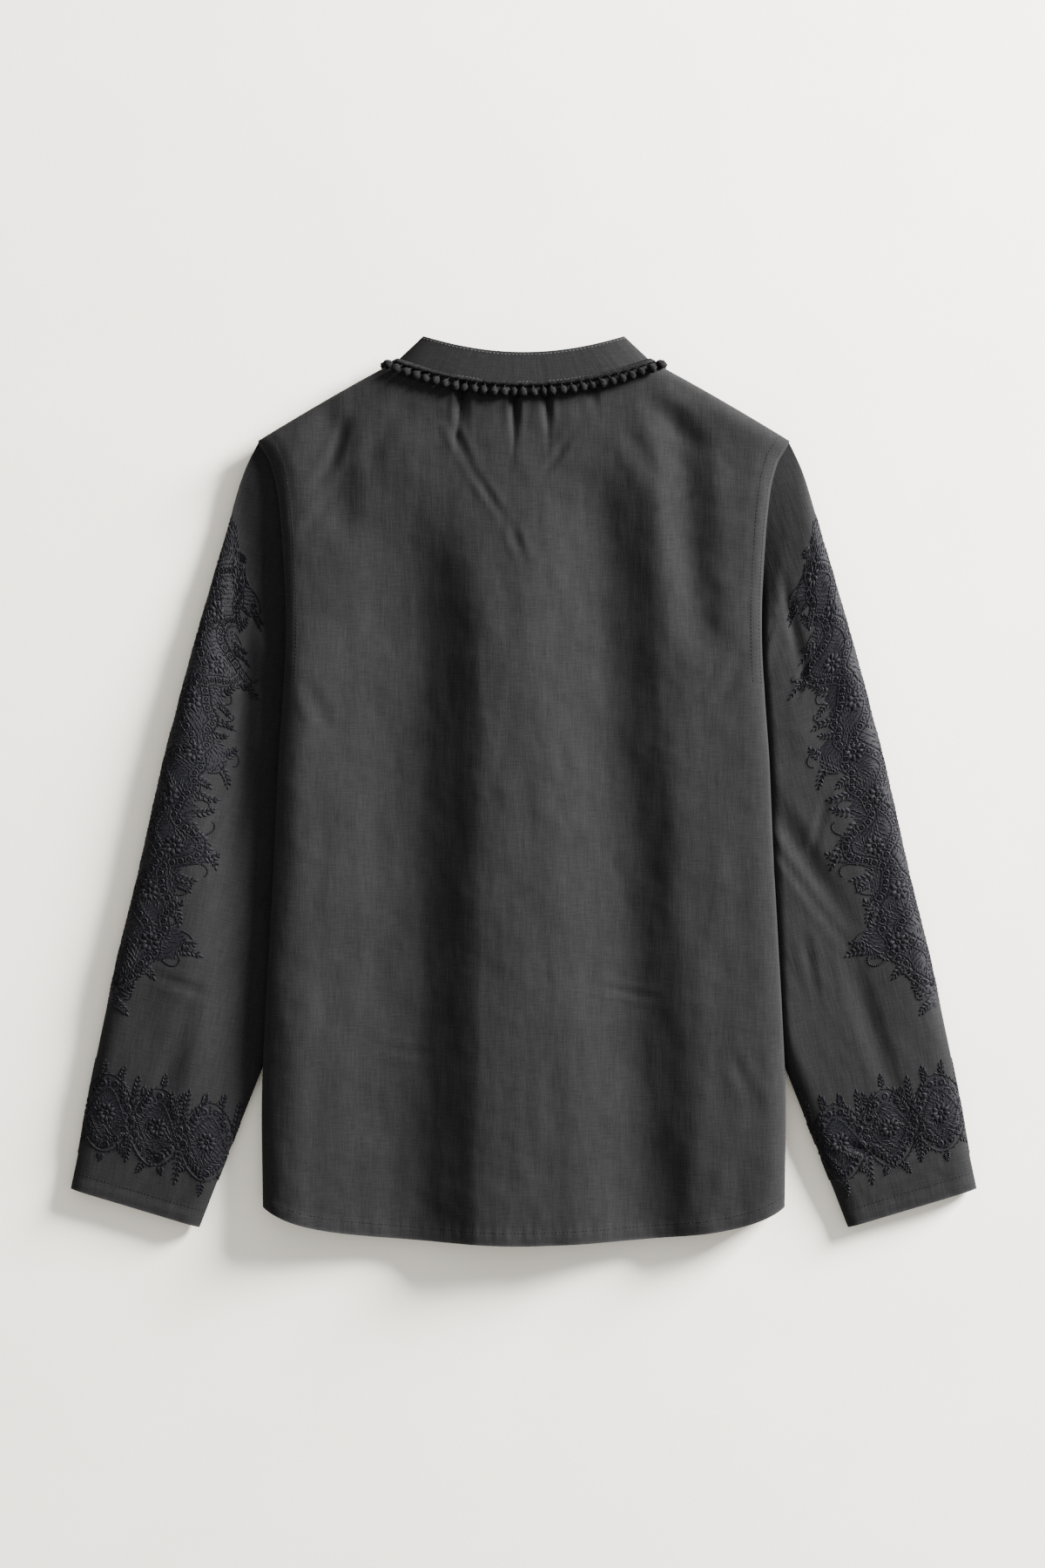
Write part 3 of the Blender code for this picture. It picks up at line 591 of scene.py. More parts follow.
    def grid_rows(self, rows: int) -> Array:
        """A panel's rows from the hem up, closer together where the shoulder turns over."""
        body = np.linspace(self.side_hem_y, self.tip_y - self.shoulder_rows, rows - 13)
        crown = self.tip_y - self.shoulder_rows * (1.0 - np.linspace(0.0, 1.0, 15)[1:]) ** 1.7
        return np.concatenate([body, crown])

    def top_share(self, x: Array, below: Array) -> Array:
        """The height share at the shoulder fold or the neck edge, this far below it."""
        return 1.0 - (1.0 - round_in(below, self.shoulder_rim)) * (1.0 - self.neck_share(x))

    def hem_fold(self, side_y: Array, x: Array) -> Array:
        """The turned hem's extra thickness and its puckers, to add to a panel's height."""
        past = side_y - self.side_hem_y - self.hem_depth
        pucker = 0.22 * np.sin(x * 0.78) + 0.18 * np.sin(x * 0.31 + 1.0)
        return self.hem_step * (1.0 - hem_edge(past)) + pucker * bump(past / 9.0)

    def back_point(self, across: Array, side_y: Array) -> Array:
        """Places on the back panel's outer face.

        Args:
            across: 0 at centre back, 1 where the side fold starts, 2 at the seam; negative to the left.
            side_y: The row's place at the shirt's side.

        Returns:
            An array of points.
        """
        across, side_y = np.broadcast_arrays(np.asarray(across, float), np.asarray(side_y, float))
        half, rim = self.side.down("half_width", side_y), self.side_rim
        sign, far = np.where(across < 0.0, -1.0, 1.0), np.abs(across)
        flat, turn = np.minimum(far, 1.0), np.clip(far - 1.0, 0.0, 1.0)
        angle = math.pi / 2.0 - (math.pi / 2.0 - self.wrap_angle(side_y)) * turn
        x = flat * (half - rim) + rim * np.where(turn > 0.0, np.cos(angle), 0.0)
        x_top = flat * (self.tip_x - rim) + rim * np.sin(math.pi / 2.0 * turn)
        y = self.row_y(np.where(angle < 0.0, half, x), side_y, self.back_top(x_top))
        mid, low = self.side.down("mid_height", side_y), self.side.down("low_height", side_y)
        share = self.top_share(x_top, self.tip_y - side_y)
        fine = self.small_creases(sign * x, y) + self.hem_fold(side_y, sign * x)
        beside_seam = 1.0 - smooth((half - x - self.armhole_allowance) / self.armhole_ease)
        fine = fine + self.armhole_step * beside_seam * smooth((side_y - self.underarm_y + 10.0) / 30.0)
        full = mid + (self.top_height(sign * x, y) + fine - mid) * share
        z = np.where(angle >= 0.0, mid + (full - mid) * np.sin(angle), mid + (mid - low) * np.sin(angle))
        return np.stack([sign * x, y, z], axis=-1)

    def front_point(self, x: Array, x_top: Array, side_y: Array) -> Array:
        """Places on the fronts' outer face.

        Args:
            x: Places across the shirt.
            x_top: Where each column meets the neck or the shoulder.
            side_y: The row's place at the shirt's side.

        Returns:
            An array of points.
        """
        hem_x = np.abs(x) * self.side.down("half_width", side_y) / self.seam_x(side_y)
        rise = self.front_hem_rise * (1.0 - smooth(hem_x / self.tip_x))
        y = self.row_y(hem_x, side_y, self.front_top(x_top), rise)
        mid = self.side.down("mid_height", side_y)
        share = self.top_share(x_top, self.tip_y - side_y)
        z = mid + (self.front_height(x, y) - mid) * share
        return np.stack(np.broadcast_arrays(x, y, z), axis=-1)

    def sheet_height(self, x: Array, y: Array, behind: Array) -> Array:
        """The outer height near the neck, of the back where behind is true and else of the fronts."""
        below = np.where(behind, self.back_top(x), self.front_top(x)) - y
        full = np.where(behind, self.top_height(x, y), self.front_height(x, y))
        return self.neck_mid_height + (full - self.neck_mid_height) * self.top_share(x, np.maximum(0.0, below))

    def neck_loop(self, f: Array, out: float = 0.0) -> Array:
        """A line round the neck on the panels.

        Args:
            f: 0 at centre front, 0.5 at centre back and 1 at centre front again, by +X first.
            out: How far the line is from the neck seam.

        Returns:
            An array of points.
        """
        f = np.asarray(f, float)
        sign, g = np.where(f <= 0.5, 1.0, -1.0), np.where(f <= 0.5, f, 1.0 - f)
        half = self.neck_half + out
        side = self.shoulder_line(half)
        behind = g >= 0.25
        x = half * np.sin(2.0 * math.pi * np.where(behind, 0.5 - g, g))
        foot = np.where(behind, self.neck_back_y, self.neck_front_y) - out
        y = foot + (side - foot) * (x / half) ** np.where(behind, 2.0, self.neck_front_power)
        return np.stack([sign * x, y, self.sheet_height(sign * x, y, behind)], axis=-1)


@dataclass(frozen=True)
class SleeveForm:
    """One sleeve's outer face, from the armhole to the cuff."""

    side: int
    shirt: ShirtForm
    rim: float = 15.0
    row_length: float = 44.0
    underarm_drop: float = 1.1
    underarm_thick: float = 3.4
    underarm_round: float = 8.0
    inner_edge_height: float = 4.4
    inner_edge_rise: float = 1.5
    thin: float = 8.7
    under_body_in: float = 8.0
    under_body_width: float = 13.0
    settled_row: float = 2.0
    sunk_side: int = -1
    sunk_x: float = 219.0
    sunk_width: float = 50.0
    sunk_height: float = 8.8
    sunk_row: float = 11.3
    sunk_rows: float = 1.6
    armhole_gap: float = -1.2  # the seam allowance, tucked under the body
    armhole_tuck: float = 0.9
    armhole_out: tuple[float, float] = (0.94, -0.34)
    cuff_hem: float = 15.0
    cuff_step: float = 0.5
    crease_ridge: float = 0.55
    table: Table = field(default_factory=lambda: Table(SLEEVE))

    def armhole(self, t: Array) -> tuple[Array, Array, Array, Array]:
        """The armhole from the shoulder tip, 0, to the underarm, 1.

        Args:
            t: Places along it.

        Returns:
            Its x and y, its height on the back and its height on the front.
        """
        shirt = self.shirt
        y = shirt.tip_y + (shirt.underarm_y - shirt.tip_y) * t
        x = shirt.seam_x(y)
        mid, low = shirt.side.down("mid_height", y), shirt.side.down("low_height", y)
        over = mid + (mid - low) * np.sin(shirt.wrap_angle(y)) - self.underarm_drop * smooth((t - 0.75) / 0.2)
        under = mid + (shirt.front_height(x, y) - mid) * round_in(shirt.tip_y - y, shirt.shoulder_rim)
        thick = self.underarm_thick * round_in((1.0 - t) * (shirt.tip_y - shirt.underarm_y), self.underarm_round)
        under = np.where(t > 0.5, np.minimum(under, over - thick), under)
        return x, y, over - self.armhole_tuck, under + self.armhole_tuck

    def fold_depth(self, row: Array, t: Array, wide: Array) -> Array:
        """How deep the sleeve's folds and creases are at places on it.

        Args:
            row: Fractional rows of the sleeve's table.
            t: Places across, from the outer fold, 0, to the underarm fold, 1.
            wide: The sleeve's width there.

        Returns:
            Depths, less than 0 where the cloth stands up.
        """
        along, away = row * self.row_length, t * wide
        deep = 0.7 * crumple(along, away, 34.0, 21 + self.side)
        deep = deep + 0.34 * crumple(along * 0.4, away, 15.0, 31 + self.side)
        deep = deep + 0.16 * crumple(along + away, away, 8.0, 41 + self.side)
        for table, ridge in ((SLEEVE_FOLDS, 0.0), (SLEEVE_CREASES, self.crease_ridge)):
            for fold in table:
                if fold.side == self.side:
                    off = (row - fold.row_a) * self.row_length, (t - fold.across_a) * wide
                    way = (fold.row_b - fold.row_a) * self.row_length, (fold.across_b - fold.across_a) * wide
                    deep = deep + fold.depth * stroke(off, way, fold.width, ridge)
        return deep

    def point(self, row: Array, t: Array, on_top: Array) -> Array:
        """Places on the sleeve's outer face.

        Args:
            row: Fractional rows of the sleeve's table, from the armhole down.
            t: Places across, from the outer fold, 0, to the underarm fold, 1.
            on_top: True on the side that faces up.

        Returns:
            An array of points.
        """
        row, t, on_top = np.broadcast_arrays(np.asarray(row, float), np.asarray(t, float), on_top)
        outer_x, outer_y = self.table.at("outer_x", row), self.table.at("outer_y", row)
        inner_x, inner_y = self.table.at("inner_x", row), self.table.at("inner_y", row)
        wide = np.hypot(outer_x - inner_x, outer_y - inner_y)
        away = 1.0 - smooth(row / self.settled_row)
        seam_x, seam_y, over, under = self.armhole(t)
        first = SLEEVE[0]
        chord_x = first.outer_x + (first.inner_x - first.outer_x) * t
        chord_y = first.outer_y + (first.inner_y - first.outer_y) * t
        x = outer_x + (inner_x - outer_x) * t + (seam_x - chord_x + self.armhole_out[0] * self.armhole_gap) * away
        y = outer_y + (inner_y - outer_y) * t + (seam_y - chord_y + self.armhole_out[1] * self.armhole_gap) * away
        half = self.shirt.side.down("half_width", y)
        outside = smooth((x - half + self.under_body_in) / self.under_body_width)
        edge_mid = self.table.at("edge_height", row)
        inner_mid = self.inner_edge_height + self.inner_edge_rise * outside
        edge_mid = edge_mid + (inner_mid - edge_mid) * smooth(t)
        share = round_in(t * wide, self.rim) * round_in((1.0 - t) * wide, self.rim)
        full = self.thin + (self.table.at("height", row) - self.thin) * outside
        if self.side == self.sunk_side:
            sunk = 1.0 - smooth((x - self.sunk_x) / self.sunk_width)
            full = full + (self.sunk_height - full) * sunk * (1.0 - smooth((row - self.sunk_row) / self.sunk_rows))
        full = full - self.fold_depth(row, t, wide) * outside
        full = full + self.cuff_step * (1.0 - hem_edge((self.table.last - row) * self.row_length - self.cuff_hem))
        top = edge_mid + (full - edge_mid) * share
        top = top + (over - top) * away
        bottom = edge_mid * (1.0 - share)
        bottom = bottom + (under - bottom) * away
        return np.stack([self.side * x, y, np.where(on_top, top, bottom)], axis=-1)


@dataclass(frozen=True)
class CollarForm:
    """The stand collar's outer face."""

    shirt: ShirtForm
    top_half: float = 79.5
    top_side_y: float = 358.3
    top_back_y: float = 345.3
    top_front_y: float = 275.0
    top_back_height: float = 25.0
    top_side_height: float = 20.0
    gap: float = -2.2  # the seam allowance, tucked under the panels
    end_x: float = 0.5

    def top_edge(self, f: Array) -> Array:
        """The collar's top edge, by the same f as the neck seam."""
        f = np.asarray(f, float)
        sign, g = np.where(f <= 0.5, 1.0, -1.0), np.where(f <= 0.5, f, 1.0 - f)
        behind = g >= 0.25
        r = np.sin(2.0 * math.pi * np.where(behind, 0.5 - g, g))
        share = np.sqrt(np.maximum(0.0, 1.0 - r ** 4))
        rear_y = self.top_back_y + (self.top_side_y - self.top_back_y) * r * r
        fore_y = self.top_front_y + (self.top_side_y - self.top_front_y) * r ** self.shirt.neck_front_power
        rear_z = self.top_side_height + (self.top_back_height - self.top_side_height) * share
        fore_z = self.top_side_height * (1.0 - share)
        y, z = np.where(behind, rear_y, fore_y), np.where(behind, rear_z, fore_z)
        return np.stack([sign * self.top_half * r, y, z], axis=-1)

    def point(self, f: Array, up: Array) -> Array:
        """Places on the collar, from just above its seam, 0, to its top edge, 1."""
        f, up = np.broadcast_arrays(np.asarray(f, float), np.asarray(up, float))
        foot, top = self.shirt.neck_loop(f), self.top_edge(f)
        foot = foot + unit(top - foot) * self.gap
        return foot + (top - foot) * up[..., None]


# ---- Meshes -------------------------------------------------------------------------------------


def placed(points: Array) -> Array:
    """Turns millimetres about the bust line into metres about the laid shirt's middle."""
    return (np.asarray(points, float) + (0.0, -MIDDLE_Y, 0.0)) * MM


def only(thing: Object) -> None:
    """Selects one object and nothing else, and makes it the active one."""
    for other in bpy.context.view_layer.objects:
        other.select_set(False)
    thing.select_set(True)
    bpy.context.view_layer.objects.active = thing


@contextmanager
def editing(select: str = "SELECT") -> Iterator[None]:
    """Edit mode for the active object, first with all of its mesh selected, or none of it."""
    bpy.ops.object.mode_set(mode="EDIT")
    if select:
        bpy.ops.mesh.select_all(action=select)
    yield
    bpy.ops.object.mode_set(mode="OBJECT")


def added(primitive: Callable[..., Any], **settings: Any) -> Object:
    """Adds a primitive with nothing else selected."""
    bpy.ops.object.select_all(action="DESELECT")
    primitive(**settings)
    return bpy.context.view_layer.objects.active


def apply_modifier(thing: Object, kind: str, **settings: Any) -> None:
    """Adds a modifier, sets it up and applies it."""
    made = thing.modifiers.new(kind.title(), kind)
    for name, value in settings.items():
        setattr(made, name, value)
    only(thing)
    bpy.ops.object.modifier_apply(modifier=made.name)


def new_mesh(name: str, points: Array, faces: Array, smooth_angle: float = 50.0) -> Object:
    """Makes an object from arrays.

    Args:
        name: The object's name.
        points: Corners, in metres.
        faces: Rows of corner numbers.
        smooth_angle: Edges sharper than this many degrees stay sharp.

    Returns:
        The new object, in the scene.
    """
    data = bpy.data.meshes.new(name)
    data.from_pydata(np.asarray(points).tolist(), [], np.asarray(faces).tolist())
    data.polygons.foreach_set("use_smooth", np.ones(len(data.polygons), bool))
    data.update()
    data.set_sharp_from_angle(angle=math.radians(smooth_angle))
    made = bpy.data.objects.new(name, data)
    bpy.context.scene.collection.objects.link(made)
    return made


@dataclass
class ClothGrid:
    """A cut piece as a grid of places: rows run along it and columns across it."""

    points: Array
    flat: Array
    wear: Array
    closed: bool = False

    def make(self, name: str, wall: float, probe: tuple[int, int], faces_up: bool) -> Object:
        """Makes the piece as a thin shell, with its wall inside the given face.

        Args:
            name: The object's name.
            wall: The cloth's thickness in millimetres.
            probe: A row and column at which to tell the outer face.
            faces_up: Whether the outer face looks up there.

        Returns:
            The cloth, with the UV map Cloth in metres and the attribute Wear.
        """
        rows, columns = self.points.shape[:2]
        r, c = np.meshgrid(np.arange(rows - 1), np.arange(columns if self.closed else columns - 1), indexing="ij")
        n = (c + 1) % columns
        quads = np.stack([r * columns + c, r * columns + n, (r + 1) * columns + n, (r + 1) * columns + c], -1)
        wide = self.flat.shape[1]
        corners = np.stack([r * wide + c, r * wide + c + 1, (r + 1) * wide + c + 1, (r + 1) * wide + c], -1)
        i, j = probe
        here = self.points[i, j]
        normal = np.cross(self.points[i, j + 1] - here, self.points[i + 1, j] - here)
        if (normal[2] > 0.0) != faces_up:
            quads, corners = quads[..., ::-1], corners[..., ::-1]
        made = new_mesh(name, placed(self.points).reshape(-1, 3), quads.reshape(-1, 4))
        layer = made.data.uv_layers.new(name="Cloth")
        layer.data.foreach_set("uv", (self.flat.reshape(-1, 2)[corners.reshape(-1)] * MM).ravel())
        worn = made.data.attributes.new("Wear", "FLOAT", "POINT")
        worn.data.foreach_set("value", np.asarray(self.wear, np.float32).ravel())
        apply_modifier(made, "SOLIDIFY", thickness=wall * MM, offset=-1.0, use_quality_normals=True)
        made.data.polygons.foreach_set("use_smooth", np.ones(len(made.data.polygons), bool))
        made.data.set_sharp_from_angle(angle=math.radians(60.0))
        return made


class Chart:
    """A surface with its own two directions, on which stitches and motifs are placed."""

    def __init__(self, points: Array, s: Array, w: Array, up_at: tuple[int, int], up: Sequence[float]) -> None:
        """Keeps the surface as an even grid.

        Args:
            points: Places, by s and then w.
            s: Even steps along the first direction, in millimetres.
            w: Even steps along the second direction.
            up_at: A row and column at which to tell the outer face.
            up: Roughly the outer face's direction there.
        """
        self.points, self.s, self.w = points, s, w
        normal = unit(np.cross(np.gradient(points, s, axis=0), np.gradient(points, w, axis=1)))
        self.mirrored = bool(normal[up_at].dot(np.asarray(up)) < 0.0)
        self.normal = -normal if self.mirrored else normal

    def at(self, s: Array, w: Array, height: Array | float = 0.0) -> Array:
        """Places on the surface, or this high over it."""
        u = np.clip((s - self.s[0]) / (self.s[1] - self.s[0]), 0.0, len(self.s) - 1.001)
        v = np.clip((w - self.w[0]) / (self.w[1] - self.w[0]), 0.0, len(self.w) - 1.001)
        i, j = np.floor(u).astype(int), np.floor(v).astype(int)
        a, b = (u - i)[..., None], (v - j)[..., None]
        place, off = (between(grid, i, j, a, b) for grid in (self.points, self.normal))
        return place + unit(off) * np.asarray(height)[..., None]


# ---- Thread work --------------------------------------------------------------------------------


class Motif(Enum):
    """The small shapes that embroidery and seams are made of."""

    LEAF = "leaf"
    SEED = "seed"
    RING = "ring"
    DOT = "dot"
    STITCH = "stitch"


class Spot(NamedTuple):
    """Where one small shape lies on a chart, which way it points, and its sizes."""

    s: float
    w: float
    angle: float
    length: float
    width: float
    height: float
    bend: float


@dataclass
class Stamp:
    """One small shape, modelled once at unit size."""

    points: Array
    faces: Array

    @staticmethod
    def from_active() -> "Stamp":
        """Takes the active primitive's mesh as triangles and removes it."""
        thing = bpy.context.view_layer.objects.active
        with editing():
            bpy.ops.mesh.quads_convert_to_tris()
            bpy.ops.mesh.normals_make_consistent(inside=False)
        points = np.array([corner.co for corner in thing.data.vertices], float)
        faces = np.array([list(face.vertices) for face in thing.data.polygons], int)
        bpy.data.objects.remove(thing)
        return Stamp(points, faces)

    @staticmethod
    def pad(segments: int, rings: int, pinch: float) -> "Stamp":
        """A padded satin-stitch shape, with its length along X.

        Args:
            segments: Sides round its length.
            rings: Steps along it.
            pinch: How narrow its ends are drawn.

        Returns:
            The shape, 2 long, 2 wide and 2 high.
        """
        thing = added(bpy.ops.mesh.primitive_uv_sphere_add, segments=segments, ring_count=rings, radius=1.0)
        with editing():
            bpy.ops.transform.rotate(value=math.pi / 2.0, orient_axis="Y", center_override=(0.0, 0.0, 0.0))
            bpy.ops.mesh.select_all(action="DESELECT")
        for corner in thing.data.vertices:
            corner.select = 0.55 < abs(corner.co.x) < 0.98
        with editing(select=""):
            bpy.ops.transform.resize(value=(1.0, pinch, pinch), center_override=(0.0, 0.0, 0.0))
        return Stamp.from_active()

    @staticmethod
    def ring(around: int, sides: int, thick: float) -> "Stamp":
        """An overcast eyelet's rim, 2 across."""
        added(bpy.ops.mesh.primitive_torus_add, major_segments=around, minor_segments=sides,
              major_radius=1.0 - thick, minor_radius=thick)
        return Stamp.from_active()


class ThreadWork:
    """Collects small shapes and stems on one chart and joins them in one mesh."""

    ground_height: float = 0.16
    ground_sunk: float = -0.2
    lowest: float = 0.05  # nothing goes below the surface the shirt lies on

    def __init__(self, chart: Chart, stamps: dict[Motif, Stamp]) -> None:
        """Starts an empty piece of work on a chart, with the shapes it may use."""
        self.chart, self.stamps = chart, stamps
        self.spots: dict[Motif, list[Spot]] = {motif: [] for motif in Motif}
        self.stems: list[tuple[Array, float]] = []
        self.patches: list[tuple[Array, Array]] = []

    def add(self, motif: Motif, s: float, w: float, angle: float, length: float, width: float,
            height: float = 0.45, bend: float = 0.0) -> None:
        """Puts one shape on the chart; sizes are its full length and width, and its height over the cloth."""
        self.spots[motif].append(Spot(s, w, angle, length, width, height, bend))

    def stem(self, line: Array, radius: float) -> None:
        """Lays a corded stem along a line of s and w."""
        self.stems.append((np.asarray(line, float), radius))

    def patch(self, s: Array, w: Array) -> None:
        """Covers a grid of s and w with close flat stitches, sunk into the cloth at the first and last column."""
        self.patches.append((s, w))

    def run(self, line: Array, pitch: float, length: float, width: float, height: float = 0.28) -> None:
        """Sews running stitches along a line of s and w.

        Args:
            line: The line's places.
            pitch: From one stitch to the next.
            length: The part of each stitch that shows.
            width: The thread's thickness.
            height: How far it stands up.
        """
        far = lengths(self.chart.at(line[:, 0], line[:, 1]))
        for at in np.arange(pitch / 2.0, far[-1], pitch):
            s, w = np.interp(at, far, line[:, 0]), np.interp(at, far, line[:, 1])
            s_b, w_b = np.interp(at + 0.5, far, line[:, 0]), np.interp(at + 0.5, far, line[:, 1])
            self.add(Motif.STITCH, s, w, math.atan2(w_b - w, s_b - s), length, width, height)

    def make(self, name: str) -> Object:
        """Joins all the shapes in one object.

        Args:
            name: The object's name.

        Returns:
            The thread work, with the UV map Thread in metres, along and across each shape.
        """
        points, faces, flats, count = [], [], [], 0
        for motif, spots in self.spots.items():
            if not spots:
                continue
            stamp, table = self.stamps[motif], np.array(spots)
            s, w, angle, length, width, height, bend = (table[:, k, None] for k in range(7))
            a, b = stamp.points[None, :, 0] * length / 2.0, stamp.points[None, :, 1] * width / 2.0
            b = b + bend * length * (stamp.points[None, :, 0] ** 2 - 0.5)
            turn_s = a * np.cos(angle) - b * np.sin(angle)
            turn_w = a * np.sin(angle) + b * np.cos(angle)
            here = self.chart.at(s + turn_s, w + turn_w, stamp.points[None, :, 2] * height)
            points.append(here.reshape(-1, 3))
            flats.append(np.stack([a + 0.0 * b, b], -1).reshape(-1, 2))
            shift = count + np.arange(len(table)) * len(stamp.points)
            faces.append((shift[:, None, None] + stamp.faces[None]).reshape(-1, 3))
            count += len(table) * len(stamp.points)
        for line, radius in self.stems:
            middle = self.chart.at(line[:, 0], line[:, 1], radius * 0.4)
            off = self.chart.at(line[:, 0], line[:, 1], 1.0) - self.chart.at(line[:, 0], line[:, 1])
            across = np.cross(unit(np.gradient(middle, axis=0)), off)
            corners = [middle + off * radius * 0.8, middle - across * radius - off * radius * 0.6,
                       middle + across * radius - off * radius * 0.6]
            if self.chart.mirrored:
                corners = [corners[0], corners[2], corners[1]]
            points.append(np.stack(corners, 1).reshape(-1, 3))
            far = np.repeat(np.arange(len(line)) * 1.5, 3)
            flats.append(np.stack([far, np.tile([0.0, -1.0, 1.0], len(line)) * radius], -1))
            last = (len(line) - 1) * 3
            faces.append(np.concatenate([tube_faces(len(line), 3), [[2, 1, 0], [last, last + 1, last + 2]]]) + count)
            count += len(line) * 3
        for s, w in self.patches:
            height = np.full(s.shape, self.ground_height)
            height[:, 0] = height[:, -1] = self.ground_sunk
            points.append(self.chart.at(s, w, height).reshape(-1, 3))
            flats.append(np.stack([s, w], -1).reshape(-1, 2))
            r, c = np.meshgrid(np.arange(s.shape[0] - 1), np.arange(s.shape[1] - 1), indexing="ij")
            a = (r * s.shape[1] + c).ravel() + count
            b = a + s.shape[1]
            faces.append(np.concatenate([np.stack([a, b, b + 1], 1), np.stack([a, b + 1, a + 1], 1)]))
            count += s.size
        joined, laid = np.concatenate(faces), np.concatenate(points)
        laid[:, 2] = np.maximum(laid[:, 2], self.lowest)
        if self.chart.mirrored:
            joined = joined[:, ::-1]
        made = new_mesh(name, placed(laid), joined, 70.0)
        flat = np.concatenate(flats)[joined.reshape(-1)] * MM
        made.data.uv_layers.new(name="Thread").data.foreach_set("uv", flat.ravel())
        return made


# ---- Finishes -----------------------------------------------------------------------------------


def linear(colour: str) -> tuple[float, float, float, float]:
    """Turns an sRGB hex colour to linear light."""
    parts = [int(colour[k:k + 2], 16) / 255.0 for k in (1, 3, 5)]
    red, green, blue = (c / 12.92 if c <= 0.04045 else ((c + 0.055) / 1.055) ** 2.4 for c in parts)
    return red, green, blue, 1.0


def add_node(tree: NodeTree, kind: str, values: dict[Any, Any] | None = None,
             links: dict[Any, NodeSocket] | None = None, **settings: Any) -> Node:
    """Adds a node with its settings, values and links.

    Args:
        tree: The material's nodes.
        kind: The node's type.
        values: Values for its inputs.
        links: Outputs to join to its inputs.
        **settings: The node's own settings.

    Returns:
        The node.
    """
    made = tree.nodes.new(kind)
    for name, value in settings.items():
        setattr(made, name, value)
    for name, value in (values or {}).items():
        made.inputs[name].default_value = value
    for name, source in (links or {}).items():
        tree.links.new(source, made.inputs[name])
    return made


@dataclass(frozen=True)
class Finish:
    """What every finish has: its name, its shader's even values, its two tones and its nodes."""

    name: str
    values: dict[str, Any] = field(default_factory=dict)
    dark: str = "#000000"
    pale: str = "#FFFFFF"

    def make(self) -> Material:
        """Makes the material."""
        made = bpy.data.materials.new(self.name)
        made.use_nodes = True
        tree = made.node_tree
        shader = tree.nodes["Principled BSDF"]
        for name, value in self.values.items():
            shader.inputs[name].default_value = value
        self.dress(tree, shader)
        return made

    def dress(self, tree: NodeTree, shader: Node) -> None:
        """Adds the nodes of this finish."""

    def two_tone(self, tree: NodeTree, pattern: NodeSocket, low: float = 0.0,
                 high: float = 1.0) -> NodeSocket:
        """The dark tone where the pattern is under low, the pale one where it is over high."""
        mixed = add_node(tree, "ShaderNodeValToRGB", {}, {"Fac": pattern})
        first, last = mixed.color_ramp.elements
        first.position, last.position = low, high
        first.color, last.color = linear(self.dark), linear(self.pale)
        return mixed.outputs["Color"]

    def noise(self, tree: NodeTree, size: float, detail: float) -> NodeSocket:
        """Even noise in the object's own space; size is millimetres."""
        place = add_node(tree, "ShaderNodeTexCoord").outputs["Object"]
        made = add_node(tree, "ShaderNodeTexNoise", {"Scale": 1.0 / (size * MM), "Detail": detail}, {"Vector": place})
        return made.outputs["Fac"]

    def stretched(self, tree: NodeTree, source: NodeSocket, wide: float, long: float,
                  detail: float = 2.0) -> NodeSocket:
        """Noise drawn out along V; wide and long are millimetres."""
        place = add_node(tree, "ShaderNodeMapping", {"Scale": (1.0 / (wide * MM), 1.0 / (long * MM), 1.0)},
                         {"Vector": source})
        noise = add_node(tree, "ShaderNodeTexNoise", {"Scale": 1.0, "Detail": detail, "Roughness": 0.55},
                         {"Vector": place.outputs["Vector"]})
        return noise.outputs["Fac"]

    def sum_of(self, tree: NodeTree, parts: Sequence[tuple[NodeSocket, float]]) -> Any:
        """Adds up patterns, each with its share."""
        total: NodeSocket | None = None
        for source, share in parts:
            made = add_node(tree, "ShaderNodeMath", {1: share}, {0: source}, operation="MULTIPLY")
            if total is not None:
                made = add_node(tree, "ShaderNodeMath", {}, {0: total, 1: made.outputs[0]}, operation="ADD")
            total = made.outputs[0]
        return total

    def bump(self, tree: NodeTree, shader: Node, height: NodeSocket,
             strength: float, distance: float) -> None:
        """Gives the shader a relief; distance is millimetres."""
        made = add_node(tree, "ShaderNodeBump", {"Strength": strength, "Distance": distance * MM},
                        {"Height": height})
        tree.links.new(made.outputs["Normal"], shader.inputs["Normal"])


